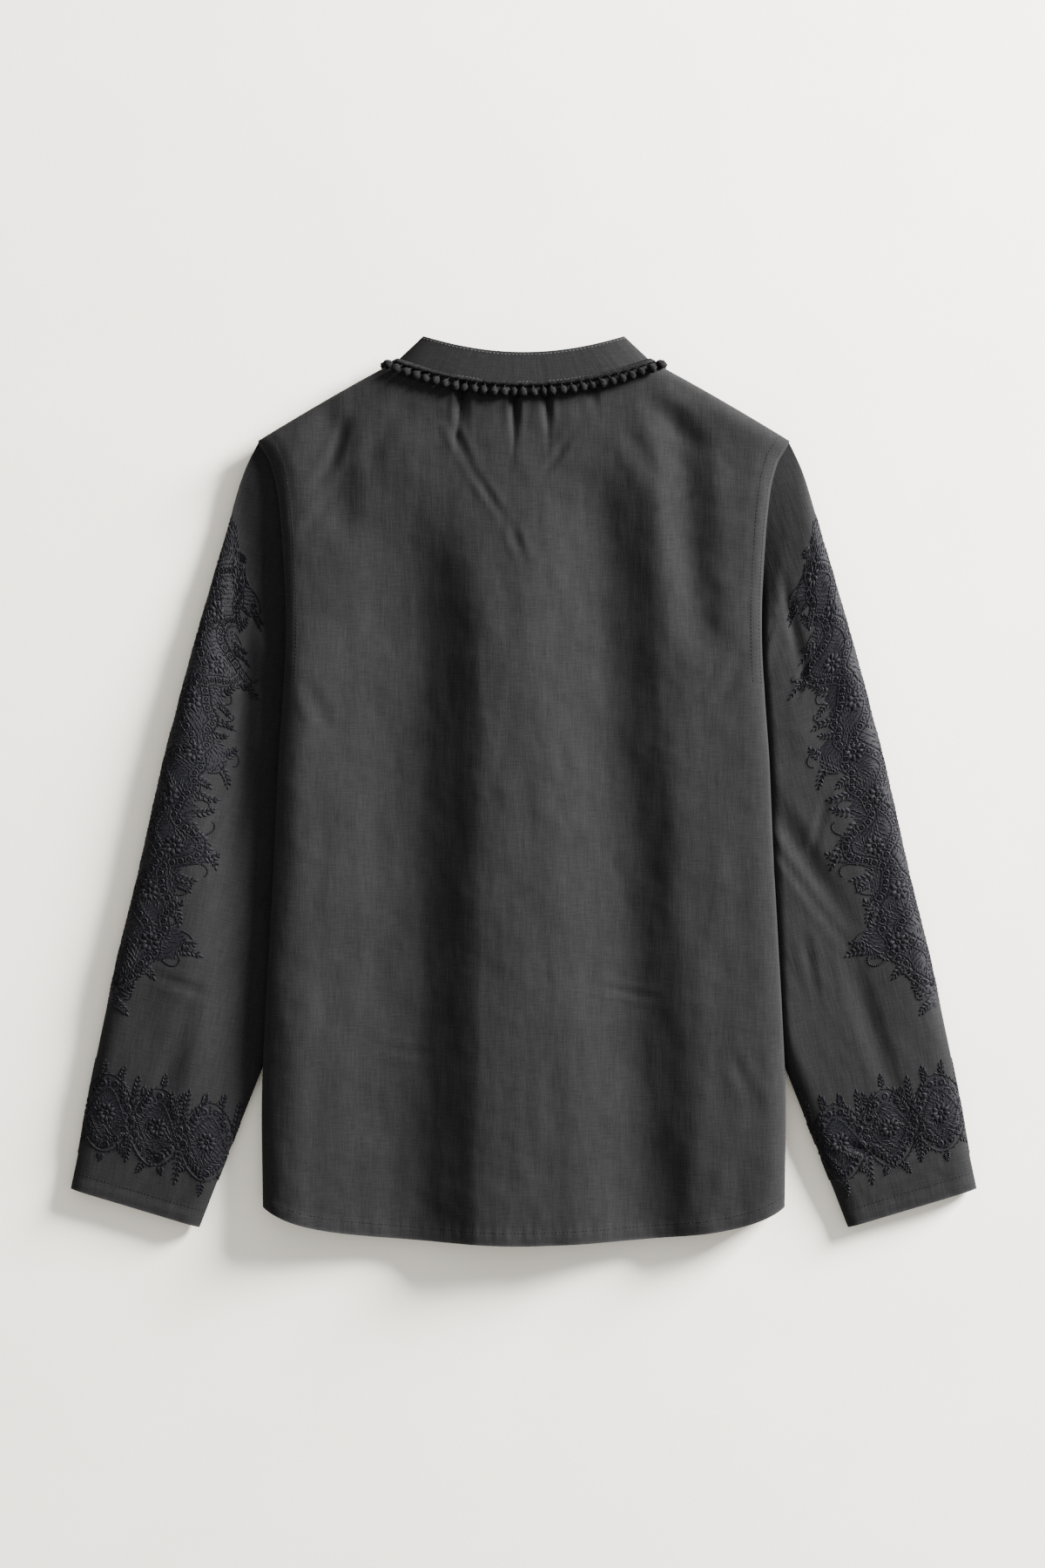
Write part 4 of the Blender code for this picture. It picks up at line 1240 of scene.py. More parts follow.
@dataclass(frozen=True)
class WashedLinen(Finish):
    """Plain-woven linen, garment-dyed charcoal: matt, slubby threads both ways, paler where it wears."""

    dark: str = "#121213"
    pale: str = "#202021"
    worn: str = "#2B2B2C"
    thread: float = 1.1  # real threads are 0.5 mm apart, drawn twice as coarse so that they show

    def dress(self, tree: NodeTree, shader: Node) -> None:
        """Slubs along and across, soft blotches of dye, and a bump from the weave."""
        uv = add_node(tree, "ShaderNodeUVMap", uv_map="Cloth").outputs["UV"]
        along = self.stretched(tree, uv, self.thread, 17.0)
        across = self.stretched(tree, uv, 12.0, self.thread)
        blotch = self.stretched(tree, uv, 30.0, 60.0, 3.0)
        grain = self.stretched(tree, uv, 0.9, 0.9, 1.0)
        crinkle = self.stretched(tree, uv, 6.5, 42.0, 3.0)
        tone = self.sum_of(tree, ((along, 0.28), (across, 0.28), (blotch, 0.16), (grain, 0.28)))
        wear = add_node(tree, "ShaderNodeAttribute", attribute_name="Wear").outputs["Fac"]
        rub = add_node(tree, "ShaderNodeMath", {}, {0: wear, 1: grain}, operation="MULTIPLY")
        faded = add_node(tree, "ShaderNodeMix", {}, {"Factor": rub.outputs[0]}, data_type="RGBA")
        sides = [plug for plug in faded.inputs if plug.type == "RGBA"]
        tree.links.new(self.two_tone(tree, tone, 0.33, 0.67), sides[0])
        sides[1].default_value = linear(self.worn)
        tree.links.new([plug for plug in faded.outputs if plug.type == "RGBA"][0], shader.inputs["Base Color"])
        relief = self.sum_of(tree, ((along, 0.3), (across, 0.3), (grain, 0.25), (crinkle, 1.1)))
        self.bump(tree, shader, relief, 0.5, 0.6)


@dataclass(frozen=True)
class SatinThread(Finish):
    """Twisted rayon embroidery thread laid side by side: blue-black, with a low shine along each stitch."""

    dark: str = "#06060A"
    pale: str = "#0C0C12"
    pitch: float = 0.7  # real threads are 0.4 mm apart

    def dress(self, tree: NodeTree, shader: Node) -> None:
        """Fine ribs across each shape, and a change of tone from thread to thread."""
        uv = add_node(tree, "ShaderNodeUVMap", uv_map="Thread").outputs["UV"]
        place = add_node(tree, "ShaderNodeMapping", {"Scale": (1.0, 0.35, 1.0)}, {"Vector": uv})
        ribs = add_node(tree, "ShaderNodeTexWave", {"Scale": 0.314 / (self.pitch * MM), "Distortion": 0.6,
                                                   "Detail": 1.0}, {"Vector": place.outputs["Vector"]})
        tone = self.stretched(tree, uv, self.pitch, 6.0)
        tree.links.new(self.two_tone(tree, tone, 0.3, 0.7), shader.inputs["Base Color"])
        self.bump(tree, shader, ribs.outputs["Fac"], 0.4, 0.25)


@dataclass(frozen=True)
class BrushedYarn(Finish):
    """Brushed wool yarn: soft, dull and nearly black."""

    dark: str = "#070708"
    pale: str = "#1C1C1D"
    fibre: float = 0.9

    def dress(self, tree: NodeTree, shader: Node) -> None:
        """Fibres as fine noise in tone and relief."""
        fibres = self.noise(tree, self.fibre, 3.0)
        tree.links.new(self.two_tone(tree, fibres, 0.35, 0.7), shader.inputs["Base Color"])
        self.bump(tree, shader, fibres, 0.6, 0.5)


@dataclass(frozen=True)
class PolishedHorn(Finish):
    """Dark polyester made to look like horn: smooth, with soft brown streaks and a dull polish."""

    dark: str = "#17171A"
    pale: str = "#3A3531"
    streak: float = 1.6

    def dress(self, tree: NodeTree, shader: Node) -> None:
        """Streaks across the button."""
        place = add_node(tree, "ShaderNodeTexCoord").outputs["Object"]
        streaks = self.stretched(tree, place, self.streak, 9.0, 4.0)
        tree.links.new(self.two_tone(tree, streaks, 0.42, 0.8), shader.inputs["Base Color"])
        self.bump(tree, shader, streaks, 0.1, 0.05)


@dataclass(frozen=True)
class PalePlaster(Finish):
    """The studio's pale floor: matt, faintly mottled."""

    dark: str = "#E9E5DB"
    pale: str = "#F3F0E7"
    patch: float = 90.0
    tooth: float = 3.0

    def dress(self, tree: NodeTree, shader: Node) -> None:
        """Faint patches and a fine tooth."""
        patches = self.noise(tree, self.patch, 4.0)
        tree.links.new(self.two_tone(tree, patches), shader.inputs["Base Color"])
        self.bump(tree, shader, self.noise(tree, self.tooth, 3.0), 0.12, 0.4)


MATT = {"Roughness": 0.95, "Specular IOR Level": 0.05}
LINEN = WashedLinen("washed_charcoal_linen", {**MATT, "Sheen Weight": 0.008, "Sheen Roughness": 0.5})
THREAD = SatinThread("blue_black_rayon_thread", {"Roughness": 0.62, "Specular IOR Level": 0.1})
SEWING = SatinThread("charcoal_cotton_thread", {"Roughness": 0.8, "Specular IOR Level": 0.1}, "#343435", "#505052")
YARN = BrushedYarn("brushed_black_yarn", {"Roughness": 0.98, "Specular IOR Level": 0.03})
HORN = PolishedHorn("dark_horn_polyester", {"Roughness": 0.42, "IOR": 1.55})
PLASTER = PalePlaster("pale_plaster", {"Roughness": 0.95, "Specular IOR Level": 0.2})


# ---- The pieces ---------------------------------------------------------------------------------


def finish_piece(thing: Object, look: Material, slot: str, *nodes: str) -> Object:
    """Dresses a piece, lets it ride with the shirt and hides the solids it stands for.

    Args:
        thing: The piece.
        look: Its material.
        slot: The record's material slot; not used.
        *nodes: The construction model's nodes that it replaces.

    Returns:
        The piece.
    """
    thing.data.materials.clear()
    thing.data.materials.append(look)
    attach(thing, "root")
    if nodes:
        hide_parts(*nodes)
    LOG.info("%s: %d faces", thing.name, len(thing.data.polygons))
    return thing


def near(distance: Array, reach: float) -> Array:
    """Wear beside an edge: 1 at the edge, gone at this reach."""
    return np.clip(1.0 - np.asarray(distance) / reach, 0.0, 1.0) ** 1.5


@dataclass
class SeamWork:
    """Rows of stitches laid along lines of a chart and joined in one mesh."""

    stitch: Stamp
    pitch: float = 3.0
    long: float = 2.2
    thread: float = 0.55
    points: list[Array] = field(default_factory=list)
    faces: list[Array] = field(default_factory=list)
    count: int = 0

    def lay(self, chart: Chart, s: Array, w: Array) -> None:
        """Lays one row of stitches.

        Args:
            chart: The surface.
            s: The line's places on it.
            w: The line's places in the other direction.
        """
        track = chart.at(s, w)
        up, far = chart.at(s, w, 1.0) - track, lengths(track)
        at = np.arange(self.pitch / 2.0, far[-1], self.pitch)

        def read(table: Array, place: Array) -> Array:
            """The line's values at these lengths along it."""
            return np.stack([np.interp(place, far, table[:, k]) for k in range(3)], -1)

        here, shape = read(track, at), self.stitch.points
        along, off = unit(read(track, at + 0.6) - here), unit(read(up, at))
        side = np.cross(off, along)
        spots = (here[:, None] + along[:, None] * shape[None, :, :1] * self.long / 2.0
                 + side[:, None] * shape[None, :, 1:2] * self.thread / 2.0
                 + off[:, None] * shape[None, :, 2:3] * self.thread / 2.0)
        self.points.append(spots.reshape(-1, 3))
        shift = self.count + np.arange(len(at)) * len(shape)
        self.faces.append((shift[:, None, None] + self.stitch.faces[None]).reshape(-1, 3))
        self.count += len(at) * len(shape)

    def make(self, name: str, look: Material) -> Object:
        """Joins the rows in one dressed piece."""
        made = new_mesh(name, placed(np.concatenate(self.points)), np.concatenate(self.faces), 80.0)
        made.data.uv_layers.new(name="Thread")
        return finish_piece(made, look, "yarn")


@dataclass
class BackPanel:
    """The back, in one piece from side seam to side seam, with its seam and hem stitches."""

    form: ShirtForm
    columns: int = 150
    rim_columns: int = 18
    rows: int = 250
    wall: float = 0.8
    seam_lines: tuple[float, float] = (2.2, 8.8)

    def across(self) -> Array:
        """The grid's columns, from the left seam to the right one."""
        even = np.linspace(-1.0, 1.0, self.columns + 1)
        flat = even * (0.74 + 0.26 * even ** 2)
        turn = 1.0 + np.arange(1, self.rim_columns + 1) / self.rim_columns
        return np.concatenate([-turn[::-1], flat, turn])

    def make(self, look: Material) -> Object:
        """Makes the cloth."""
        across, down = self.across(), self.form.grid_rows(self.rows)
        points = self.form.back_point(across[None, :], down[:, None])
        low = self.form.wrap_angle(down)[:, None]
        turn = np.clip(np.abs(across) - 1.0, 0.0, 1.0)[None, :]
        arc = self.form.side_rim * (math.pi / 2.0 - low) * turn
        half = self.form.side.down("half_width", down)[:, None] - self.form.side_rim
        flat_x = np.sign(across)[None, :] * (np.minimum(np.abs(across), 1.0)[None, :] * half + arc)
        flat = np.stack([flat_x, np.broadcast_to(points[..., 1], flat_x.shape)], -1)
        wear = 0.8 * near(down[:, None] - self.form.side_hem_y, 3.0) + 0.0 * points[..., 0]
        wear = np.maximum(wear, 0.45 * near(np.abs(turn * (math.pi / 2.0 - low) - math.pi / 2.0), 0.7) * (turn > 0))
        grid = ClothGrid(points, flat, wear)
        cloth = grid.make("back_panel", self.wall, (len(down) // 2, len(across) // 2), True)
        finish_piece(cloth, look, "linen", "back")
        return cloth

    def chart(self) -> Chart:
        """A chart of the back whose s is 100 times the grid's across and whose w is its side_y."""
        s = np.linspace(-200.0, 200.0, 401)
        w = np.linspace(self.form.side_hem_y, self.form.tip_y, 400)
        points = self.form.back_point(s[:, None] / 100.0, w[None, :])
        return Chart(points, s, w, (200, 200), (0.0, 0.0, 1.0))

    def sew(self, stamps: dict[Motif, Stamp], look: Material) -> Object:
        """Sews the hem and the two lines beside each armhole."""
        form, chart = self.form, self.chart()
        lines = []
        s = np.linspace(-150.0, 150.0, 300)
        lines.append(np.stack([s, np.full_like(s, form.side_hem_y + form.hem_depth)], -1))
        y = np.linspace(form.tip_y - 3.0, form.underarm_y, 80)
        for inset in self.seam_lines:
            angle = math.acos(1.0 - inset / form.side_rim)
            turn = (math.pi / 2.0 - angle) / (math.pi / 2.0 - form.wrap_angle(y))
            for side in (-1.0, 1.0):
                lines.append(np.stack([side * 100.0 * (1.0 + np.minimum(turn, 0.985)), y], -1))
        seam = SeamWork(stamps[Motif.STITCH])
        for line in lines:
            seam.lay(chart, line[:, 0], line[:, 1])
        return seam.make("back_stitching", look)


@dataclass
class Front:
    """One front, from its edge near centre front to its side seam."""

    form: ShirtForm
    name: str
    side: float
    inner_x: float
    lift: float
    flat_size: tuple[float, float]
    area: float
    columns: int = 66
    rows: int = 150
    wall: float = 0.8

    def make(self, look: Material) -> Object:
        """Makes the cloth, laid on the surface with a few soft folds."""
        form = self.form
        down = form.grid_rows(self.rows)[:, None]
        part = np.linspace(0.0, 1.0, self.columns + 1)[None, :]
        x = self.inner_x + (form.seam_x(down) - 0.6 - self.inner_x) * part
        x_top = self.inner_x + (form.seam_x(form.tip_y) - self.inner_x) * part
        points = form.front_point(self.side * x, self.side * x_top, down)
        soft = 0.35 * (1.0 + crumple(points[..., 0], points[..., 1], 42.0, 51))
        soft = soft + 0.9 * bump((x - 96.0 - 0.1 * down) / 26.0) * smooth((150.0 - down) / 80.0)
        edge = smooth((x - form.placket_half - 10.0) / 30.0) * smooth((form.seam_x(down) - x) / 30.0)
        points[..., 2] += soft * edge + self.lift * (1.0 - smooth((x - form.placket_half - 1.0) / form.placket_ease))
        wear = 0.8 * near(down - form.side_hem_y, 3.0) + 0.0 * x
        probe = (self.rows // 2, self.columns // 2)
        cloth = ClothGrid(points, points[..., :2], wear).make(self.name + "_cloth", self.wall, probe, False)
        finish_piece(cloth, look, "linen", self.name)
        return cloth


@dataclass
class Placket:
    """The button strip down centre front, with its stitches, buttonholes and buttons."""

    form: ShirtForm
    rows: int = 200
    columns: int = 12
    wall: float = 0.8
    stitch_in: float = 2.4
    stitch_pitch: float = 3.0
    stitch_long: float = 2.1
    button_radius: float = 5.0
    button_thick: float = 2.0
    button_top_y: float = 240.0
    button_pitch: float = 82.0
    button_count: int = 7
    thread_hole: float = 0.7
    thread_spread: float = 1.25
    thread_radius: float = 0.42
    hole_long: float = 13.0
    hole_half: float = 0.9
    hole_pitch: float = 0.7
    hole_bar: float = 0.4

    def chart(self) -> Chart:
        """A chart of the strip, by x and side_y."""
        x = np.linspace(-self.form.placket_half, self.form.placket_half, 26)
        y = np.linspace(self.form.side_hem_y, self.form.tip_y, 320)
        points = self.form.front_point(x[:, None], x[:, None], y[None, :])
        return Chart(points, x, y, (13, 160), (0.0, 0.0, -1.0))

    def make(self, look: Material) -> Object:
        """Makes the strip."""
        form = self.form
        x = np.linspace(-form.placket_half, form.placket_half, self.columns + 1)[None, :]
        y = np.linspace(form.side_hem_y, form.tip_y, self.rows + 1)[:, None]
        points = form.front_point(x, x, y)
        wear = 0.7 * near(form.placket_half - np.abs(points[..., 0]), 1.5)
        probe = (self.rows // 2, self.columns // 2)
        cloth = ClothGrid(points, points[..., :2], wear).make("placket_cloth", self.wall, probe, False)
        finish_piece(cloth, look, "linen", "placket")
        return cloth

    def sew(self, stamps: dict[Motif, Stamp], look: Material) -> Object:
        """Sews the strip's long edges and works its buttonholes."""
        form, chart = self.form, self.chart()
        work = ThreadWork(chart, stamps)
        y = np.linspace(form.side_hem_y + 2.0, form.tip_y - 4.0, 300)
        for x in (-form.placket_half + self.stitch_in, form.placket_half - self.stitch_in):
            work.run(np.stack([np.full_like(y, x), y], -1), self.stitch_pitch, self.stitch_long, 0.5)
        half = self.hole_long / 2.0
        for n in range(self.button_count):
            middle = self.button_top_y - self.button_pitch * n
            for k in np.arange(-half, half + 0.1, self.hole_pitch):
                for x in (-self.hole_half, self.hole_half):
                    work.add(Motif.STITCH, x, middle + k, 0.0, 1.6, 0.6, 0.22)
            for end in (-half - self.hole_bar, half + self.hole_bar):
                work.add(Motif.STITCH, 0.0, middle + end, 0.0, 3.2, 1.0, 0.26)
        return finish_piece(work.make("placket_stitching"), look, "yarn")

    def blank(self) -> Object:
        """Turns one button: a disc with a raised, rounded rim and four holes."""
        disc = added(bpy.ops.mesh.primitive_cylinder_add, vertices=40, radius=self.button_radius * MM,
                     depth=self.button_thick * MM)
        with editing("DESELECT"):
            pass
        for face in disc.data.polygons:
            face.select = face.normal.z < -0.9
        with editing(select=""):
            bpy.ops.mesh.inset(thickness=1.0 * MM, depth=0.0)
            bpy.ops.mesh.inset(thickness=0.5 * MM, depth=-0.45 * MM)
        apply_modifier(disc, "BEVEL", width=0.3 * MM, segments=3, limit_method="ANGLE", angle_limit=math.radians(40.0))
        for x in (-self.thread_spread, self.thread_spread):
            for y in (-self.thread_spread, self.thread_spread):
                drill = added(bpy.ops.mesh.primitive_cylinder_add, vertices=12, radius=self.thread_hole * MM,
                              depth=3.0 * self.button_thick * MM, location=(x * MM, y * MM, 0.0))
                apply_modifier(disc, "BOOLEAN", object=drill, operation="DIFFERENCE", solver="EXACT")
                bpy.data.objects.remove(drill)
        return disc

    def buttons(self, look: Material, thread: Material) -> None:
        """Copies the button down the strip, and sews each on with two bars of thread."""
        blank = self.blank()
        for n in range(self.button_count):
            y = self.button_top_y - self.button_pitch * n
            low = min(self.form.front_height(np.array(0.0), np.array(y - self.button_radius)),
                      self.form.front_height(np.array(0.0), np.array(y + self.button_radius)))
            spot = Vector(placed(np.array([0.0, y, float(low) - 0.3 - self.button_thick / 2.0])).tolist())
            button = bpy.data.objects.new("button_%d_horn" % (n + 1), blank.data.copy())
            bpy.context.scene.collection.objects.link(button)
            button.data.transform(button.matrix_world.Translation(spot))
            button.data.polygons.foreach_set("use_smooth", np.ones(len(button.data.polygons), bool))
            button.data.set_sharp_from_angle(angle=math.radians(35.0))
            finish_piece(button, look, "button", "button_%d" % (n + 1))
            self.bars("button_%d_thread" % (n + 1), spot, thread)
        bpy.data.objects.remove(blank)

    def bars(self, name: str, spot: Vector, look: Material) -> None:
        """Makes the two bars of thread through a button's holes."""
        pieces = []
        for x in (-self.thread_spread, self.thread_spread):
            bar = added(bpy.ops.mesh.primitive_cylinder_add, vertices=8, radius=self.thread_radius * MM,
                        depth=3.2 * MM, location=(spot.x + x * MM, spot.y, spot.z - 0.55 * MM),
                        rotation=(math.pi / 2.0, 0.0, 0.0))
            apply_modifier(bar, "BEVEL", width=0.3 * MM, segments=2, limit_method="ANGLE")
            pieces.append(bar)
        bpy.ops.object.select_all(action="DESELECT")
        for bar in pieces:
            bar.select_set(True)
        bpy.context.view_layer.objects.active = pieces[0]
        bpy.ops.object.join()
        bpy.ops.object.transform_apply(location=True, rotation=True, scale=True)
        joined = bpy.context.view_layer.objects.active
        joined.name = name
        if not joined.data.uv_layers.get("Thread"):
            joined.data.uv_layers[0].name = "Thread"
        finish_piece(joined, look, "yarn")


@dataclass
class Sleeve:
    """One sleeve: a hemmed tube with a garland down its outer fold and a band at its cuff."""

    form: SleeveForm
    name: str
    under: int = 46
    top: int = 66
    rows: int = 206
    wall: float = 0.8
    hem_stitches: float = 599.6

    def ring(self) -> tuple[Array, Array]:
        """The grid's columns: from the underarm fold under the sleeve to its outer fold, and back over it."""
        below = 0.5 + 0.5 * np.cos(math.pi * np.arange(self.under) / self.under)
        above = 0.5 - 0.5 * np.cos(math.pi * np.arange(self.top + 1) / self.top)
        on_top = np.concatenate([np.zeros(self.under, bool), np.ones(self.top + 1, bool)])
        return np.concatenate([below, above]), on_top

    def surface(self, row: Array) -> tuple[Array, Array, Array]:
        """The sleeve's points at these rows, with their lengths down the outer fold and round the ring."""
        t, on_top = self.ring()
        points = self.form.point(row[:, None], t[None, :], on_top[None, :])
        step = np.linalg.norm(np.diff(points, axis=1), axis=-1)
        round_it = np.concatenate([np.zeros((len(row), 1)), np.cumsum(step, axis=1)], axis=1)
        round_it = round_it - round_it[:, self.under:self.under + 1]
        return points, lengths(points[:, self.under]), round_it

    def make(self, look: Material) -> Object:
        """Makes the cloth."""
        points, down, _ = self.surface(np.linspace(0.0, self.form.table.last, self.rows + 1))
        fold = points[:, self.under, :2]
        grain = unit(fold[-1] - fold[0])
        off = points[..., :2] - fold[0]
        far, wide = off @ grain, off @ np.array([grain[1], -grain[0]])
        wide = wide - np.interp(far, far[:, self.under], wide[:, self.under])
        flat = np.stack([np.where(self.ring()[1], wide, -wide), far], -1)
        wear = 0.9 * near(down[-1] - down, 3.0)[:, None] + 0.0 * points[:, :-1, 0]
        grid = ClothGrid(points[:, :-1], flat, wear, closed=True)
        cloth = grid.make(self.name + "_cloth", self.wall, (self.rows // 2, self.under + self.top // 2), True)
        finish_piece(cloth, look, "linen", self.name)
        return cloth

    def chart(self) -> Chart:
        """A chart by the length down the outer fold and the length round from it, over the top."""
        points, down, round_it = self.surface(np.linspace(0.0, self.form.table.last, 281))
        w = np.linspace(-150.0, 150.0, 201)
        even = np.stack([np.stack([np.interp(w, round_it[i], points[i, :, k]) for k in range(3)], -1)
                         for i in range(len(down))])
        s = np.linspace(0.0, down[-1], 310)
        even = np.stack([[np.interp(s, down, even[:, j, k]) for k in range(3)] for j in range(len(w))])
        return Chart(np.transpose(even, (2, 0, 1)), s, w, (155, 130), (0.0, 0.0, 1.0))

    def round_at(self, s: float) -> tuple[float, float]:
        """How far the cloth reaches round under and over the sleeve at this length down it."""
        _, down, round_it = self.surface(np.linspace(0.0, self.form.table.last, 60))
        return float(np.interp(s, down, round_it[:, 0])), float(np.interp(s, down, round_it[:, -1]))

    def embroider(self, stamps: dict[Motif, Stamp], look: Material) -> Object:
        """Works the garland, the cuff band and the cuff's hem stitches."""
        work = ThreadWork(self.chart(), stamps)
        Garland(work).draw()
        low, high = self.round_at(CuffBand.middle)
        CuffBand(work, low=low, high=high).draw()
        line = np.linspace(low, high, 200)
        work.run(np.stack([np.full_like(line, self.hem_stitches), line], -1), 3.0, 2.2, 0.6)
        return finish_piece(work.make(self.name + "_embroidery"), look, "yarn")


def aside(s: float, w: float, way: float, far: float) -> tuple[float, float]:
    """The place this far from another in a direction."""
    return s + math.cos(way) * far, w + math.sin(way) * far


@dataclass
class Sprigs:
    """Plain leaf, flower, curl and eyelet shapes, drawn on a thread work."""

    thread: ThreadWork
    eyelet: float = 5.6
    seed: tuple[float, float] = (3.9, 1.5)
    row_gap: float = 2.1
    open_spots: list[tuple[float, float, float]] = field(default_factory=list)

    def frond(self, s: float, w: float, angle: float, length: float, turn: float, pairs: int, leaf: float) -> None:
        """Draws a curved rib with pairs of leaves, smaller towards its tip.

        Args:
            s: Where the rib starts.
            w: Where it starts, across.
            angle: Its first direction.
            length: The rib's length.
            turn: How far it turns from start to tip.
            pairs: Pairs of leaves.
            leaf: The first leaves' length.
        """
        steps = 12
        line = [(s, w)]
        for k in range(steps):
            way = angle + turn * (k + 0.5) / steps
            line.append(aside(*line[-1], way, length / steps))
        rib = np.array(line)
        self.thread.stem(rib, 0.45)
        for k in range(1, pairs + 1):
            f = k / (pairs + 0.6)
            at_s, at_w = (float(np.interp(f * steps, np.arange(steps + 1), rib[:, n])) for n in (0, 1))
            size = leaf * (1.0 - 0.45 * f)
            for side in (-1.0, 1.0):
                way = angle + turn * f + side * 0.75
                self.thread.add(Motif.LEAF, *aside(at_s, at_w, way, size * 0.5), way, size, size * 0.4, 0.9,
                                -0.12 * side)
        way = angle + turn
        self.thread.add(Motif.LEAF, *aside(*rib[-1], way, leaf * 0.3), way, leaf * 0.7, leaf * 0.3, 0.8)

    def curl(self, s: float, w: float, angle: float, reach: float, turn: float) -> None:
        """Draws a curling line of knots, closer together towards its tip.

        Args:
            s: Where it starts.
            w: Where it starts, across.
            angle: Its first direction.
            reach: Its length.
            turn: How far it turns.
        """
        step = 1.7
        for k in range(int(reach / step)):
            f = k * step / reach
            way = angle + turn * f * f
            s, w = aside(s, w, way, step)
            self.thread.add(Motif.DOT, s, w, way, 2.0 - 0.6 * f, 1.7, 0.75)

    def flower(self, s: float, w: float, petals: int, reach: float, turn: float) -> None:
        """Draws a round flower: petals, an eyelet, and knots between the petals."""
        for k in range(petals):
            way = turn + 2.0 * math.pi * k / petals
            size = reach - self.eyelet * 0.4
            middle = self.eyelet * 0.4 + size * 0.5
            self.thread.add(Motif.LEAF, *aside(s, w, way, middle), way, size, size * 0.62, 1.2)
            way += math.pi / petals
            self.thread.add(Motif.DOT, *aside(s, w, way, reach), way, 1.8, 1.8, 0.8)
        self.ring(s, w, 0.8)

    def ring(self, s: float, w: float, share: float = 1.0) -> None:
        """Works one eyelet, and keeps the ground away from its hole."""
        size = self.eyelet * share
        self.thread.add(Motif.RING, s, w, 0.0, size, size, 3.4)
        self.open_spots.append((s, w, size * 0.5))

    def ribbon(self, line: Array, pitch: float, edge: float, share: float = 1.0) -> None:
        """Works eyelets along a line, with pairs of knots between them and a corded edge on each side.

        Args:
            line: The middle line's places.
            pitch: From one eyelet to the next.
            edge: How far out the cords lie.
            share: The eyelets' size against the full one.
        """
        far, along = lengths(line), unit(np.gradient(line, axis=0))
        off = np.stack([-along[:, 1], along[:, 0]], -1)

        def beside(at: float, out: float) -> tuple[float, float]:
            """A place this far along the line and this far out from it."""
            row = line + off * out
            return float(np.interp(at, far, row[:, 0])), float(np.interp(at, far, row[:, 1]))

        for at in np.arange(pitch / 2.0, far[-1], pitch):
            self.ring(*beside(at, 0.0), share)
            for out in (-0.45, 0.0, 0.45):
                self.thread.add(Motif.DOT, *beside(at + pitch / 2.0, out * edge), 0.0, 1.9, 1.9, 1.0)
        for out in (-edge, edge):
            self.thread.stem(line + off * out, 0.5)
            for at in np.arange(0.8, far[-1], 3.0):
                here, ahead = beside(at, out * 1.18), beside(at + 0.5, out * 1.18)
                way = math.atan2(ahead[1] - here[1], ahead[0] - here[0]) + 0.5
                self.thread.add(Motif.SEED, *here, way, 2.6, 1.2, 0.6)

    def ground(self, s_range: tuple[float, float], w_range: tuple[float, float],
               inside: Callable[[Array, Array], Array]) -> None:
        """Fills a ground with small satin leaves in curving rows, and leaves the eyelets open.

        Args:
            s_range: Where it starts and ends.
            w_range: The same, across.
            inside: Says which places belong to the ground.
        """
        rng = np.random.default_rng(5)
        s, w = np.meshgrid(np.arange(*s_range, self.seed[0]), np.arange(*w_range, self.row_gap), indexing="ij")
        s = s + rng.uniform(-0.9, 0.9, s.shape) + (np.arange(s.shape[1]) % 2) * self.seed[0] / 2.0
        w = w + rng.uniform(-0.35, 0.35, w.shape)
        keep = inside(s, w)
        for at_s, at_w, reach in self.open_spots:
            keep &= np.hypot(s - at_s, w - at_w) > reach + 0.8
        way = 1.3 * np.sin(s / 11.0 + 0.8 * np.sin(w / 8.0)) + 0.8 * np.sin(w / 9.0 + s / 29.0)
        for at_s, at_w, turn in zip(s[keep], w[keep], way[keep]):
            self.thread.add(Motif.SEED, at_s, at_w, turn, self.seed[0] * rng.uniform(0.85, 1.25), self.seed[1],
                            rng.uniform(0.5, 0.8), rng.uniform(-0.1, 0.1))


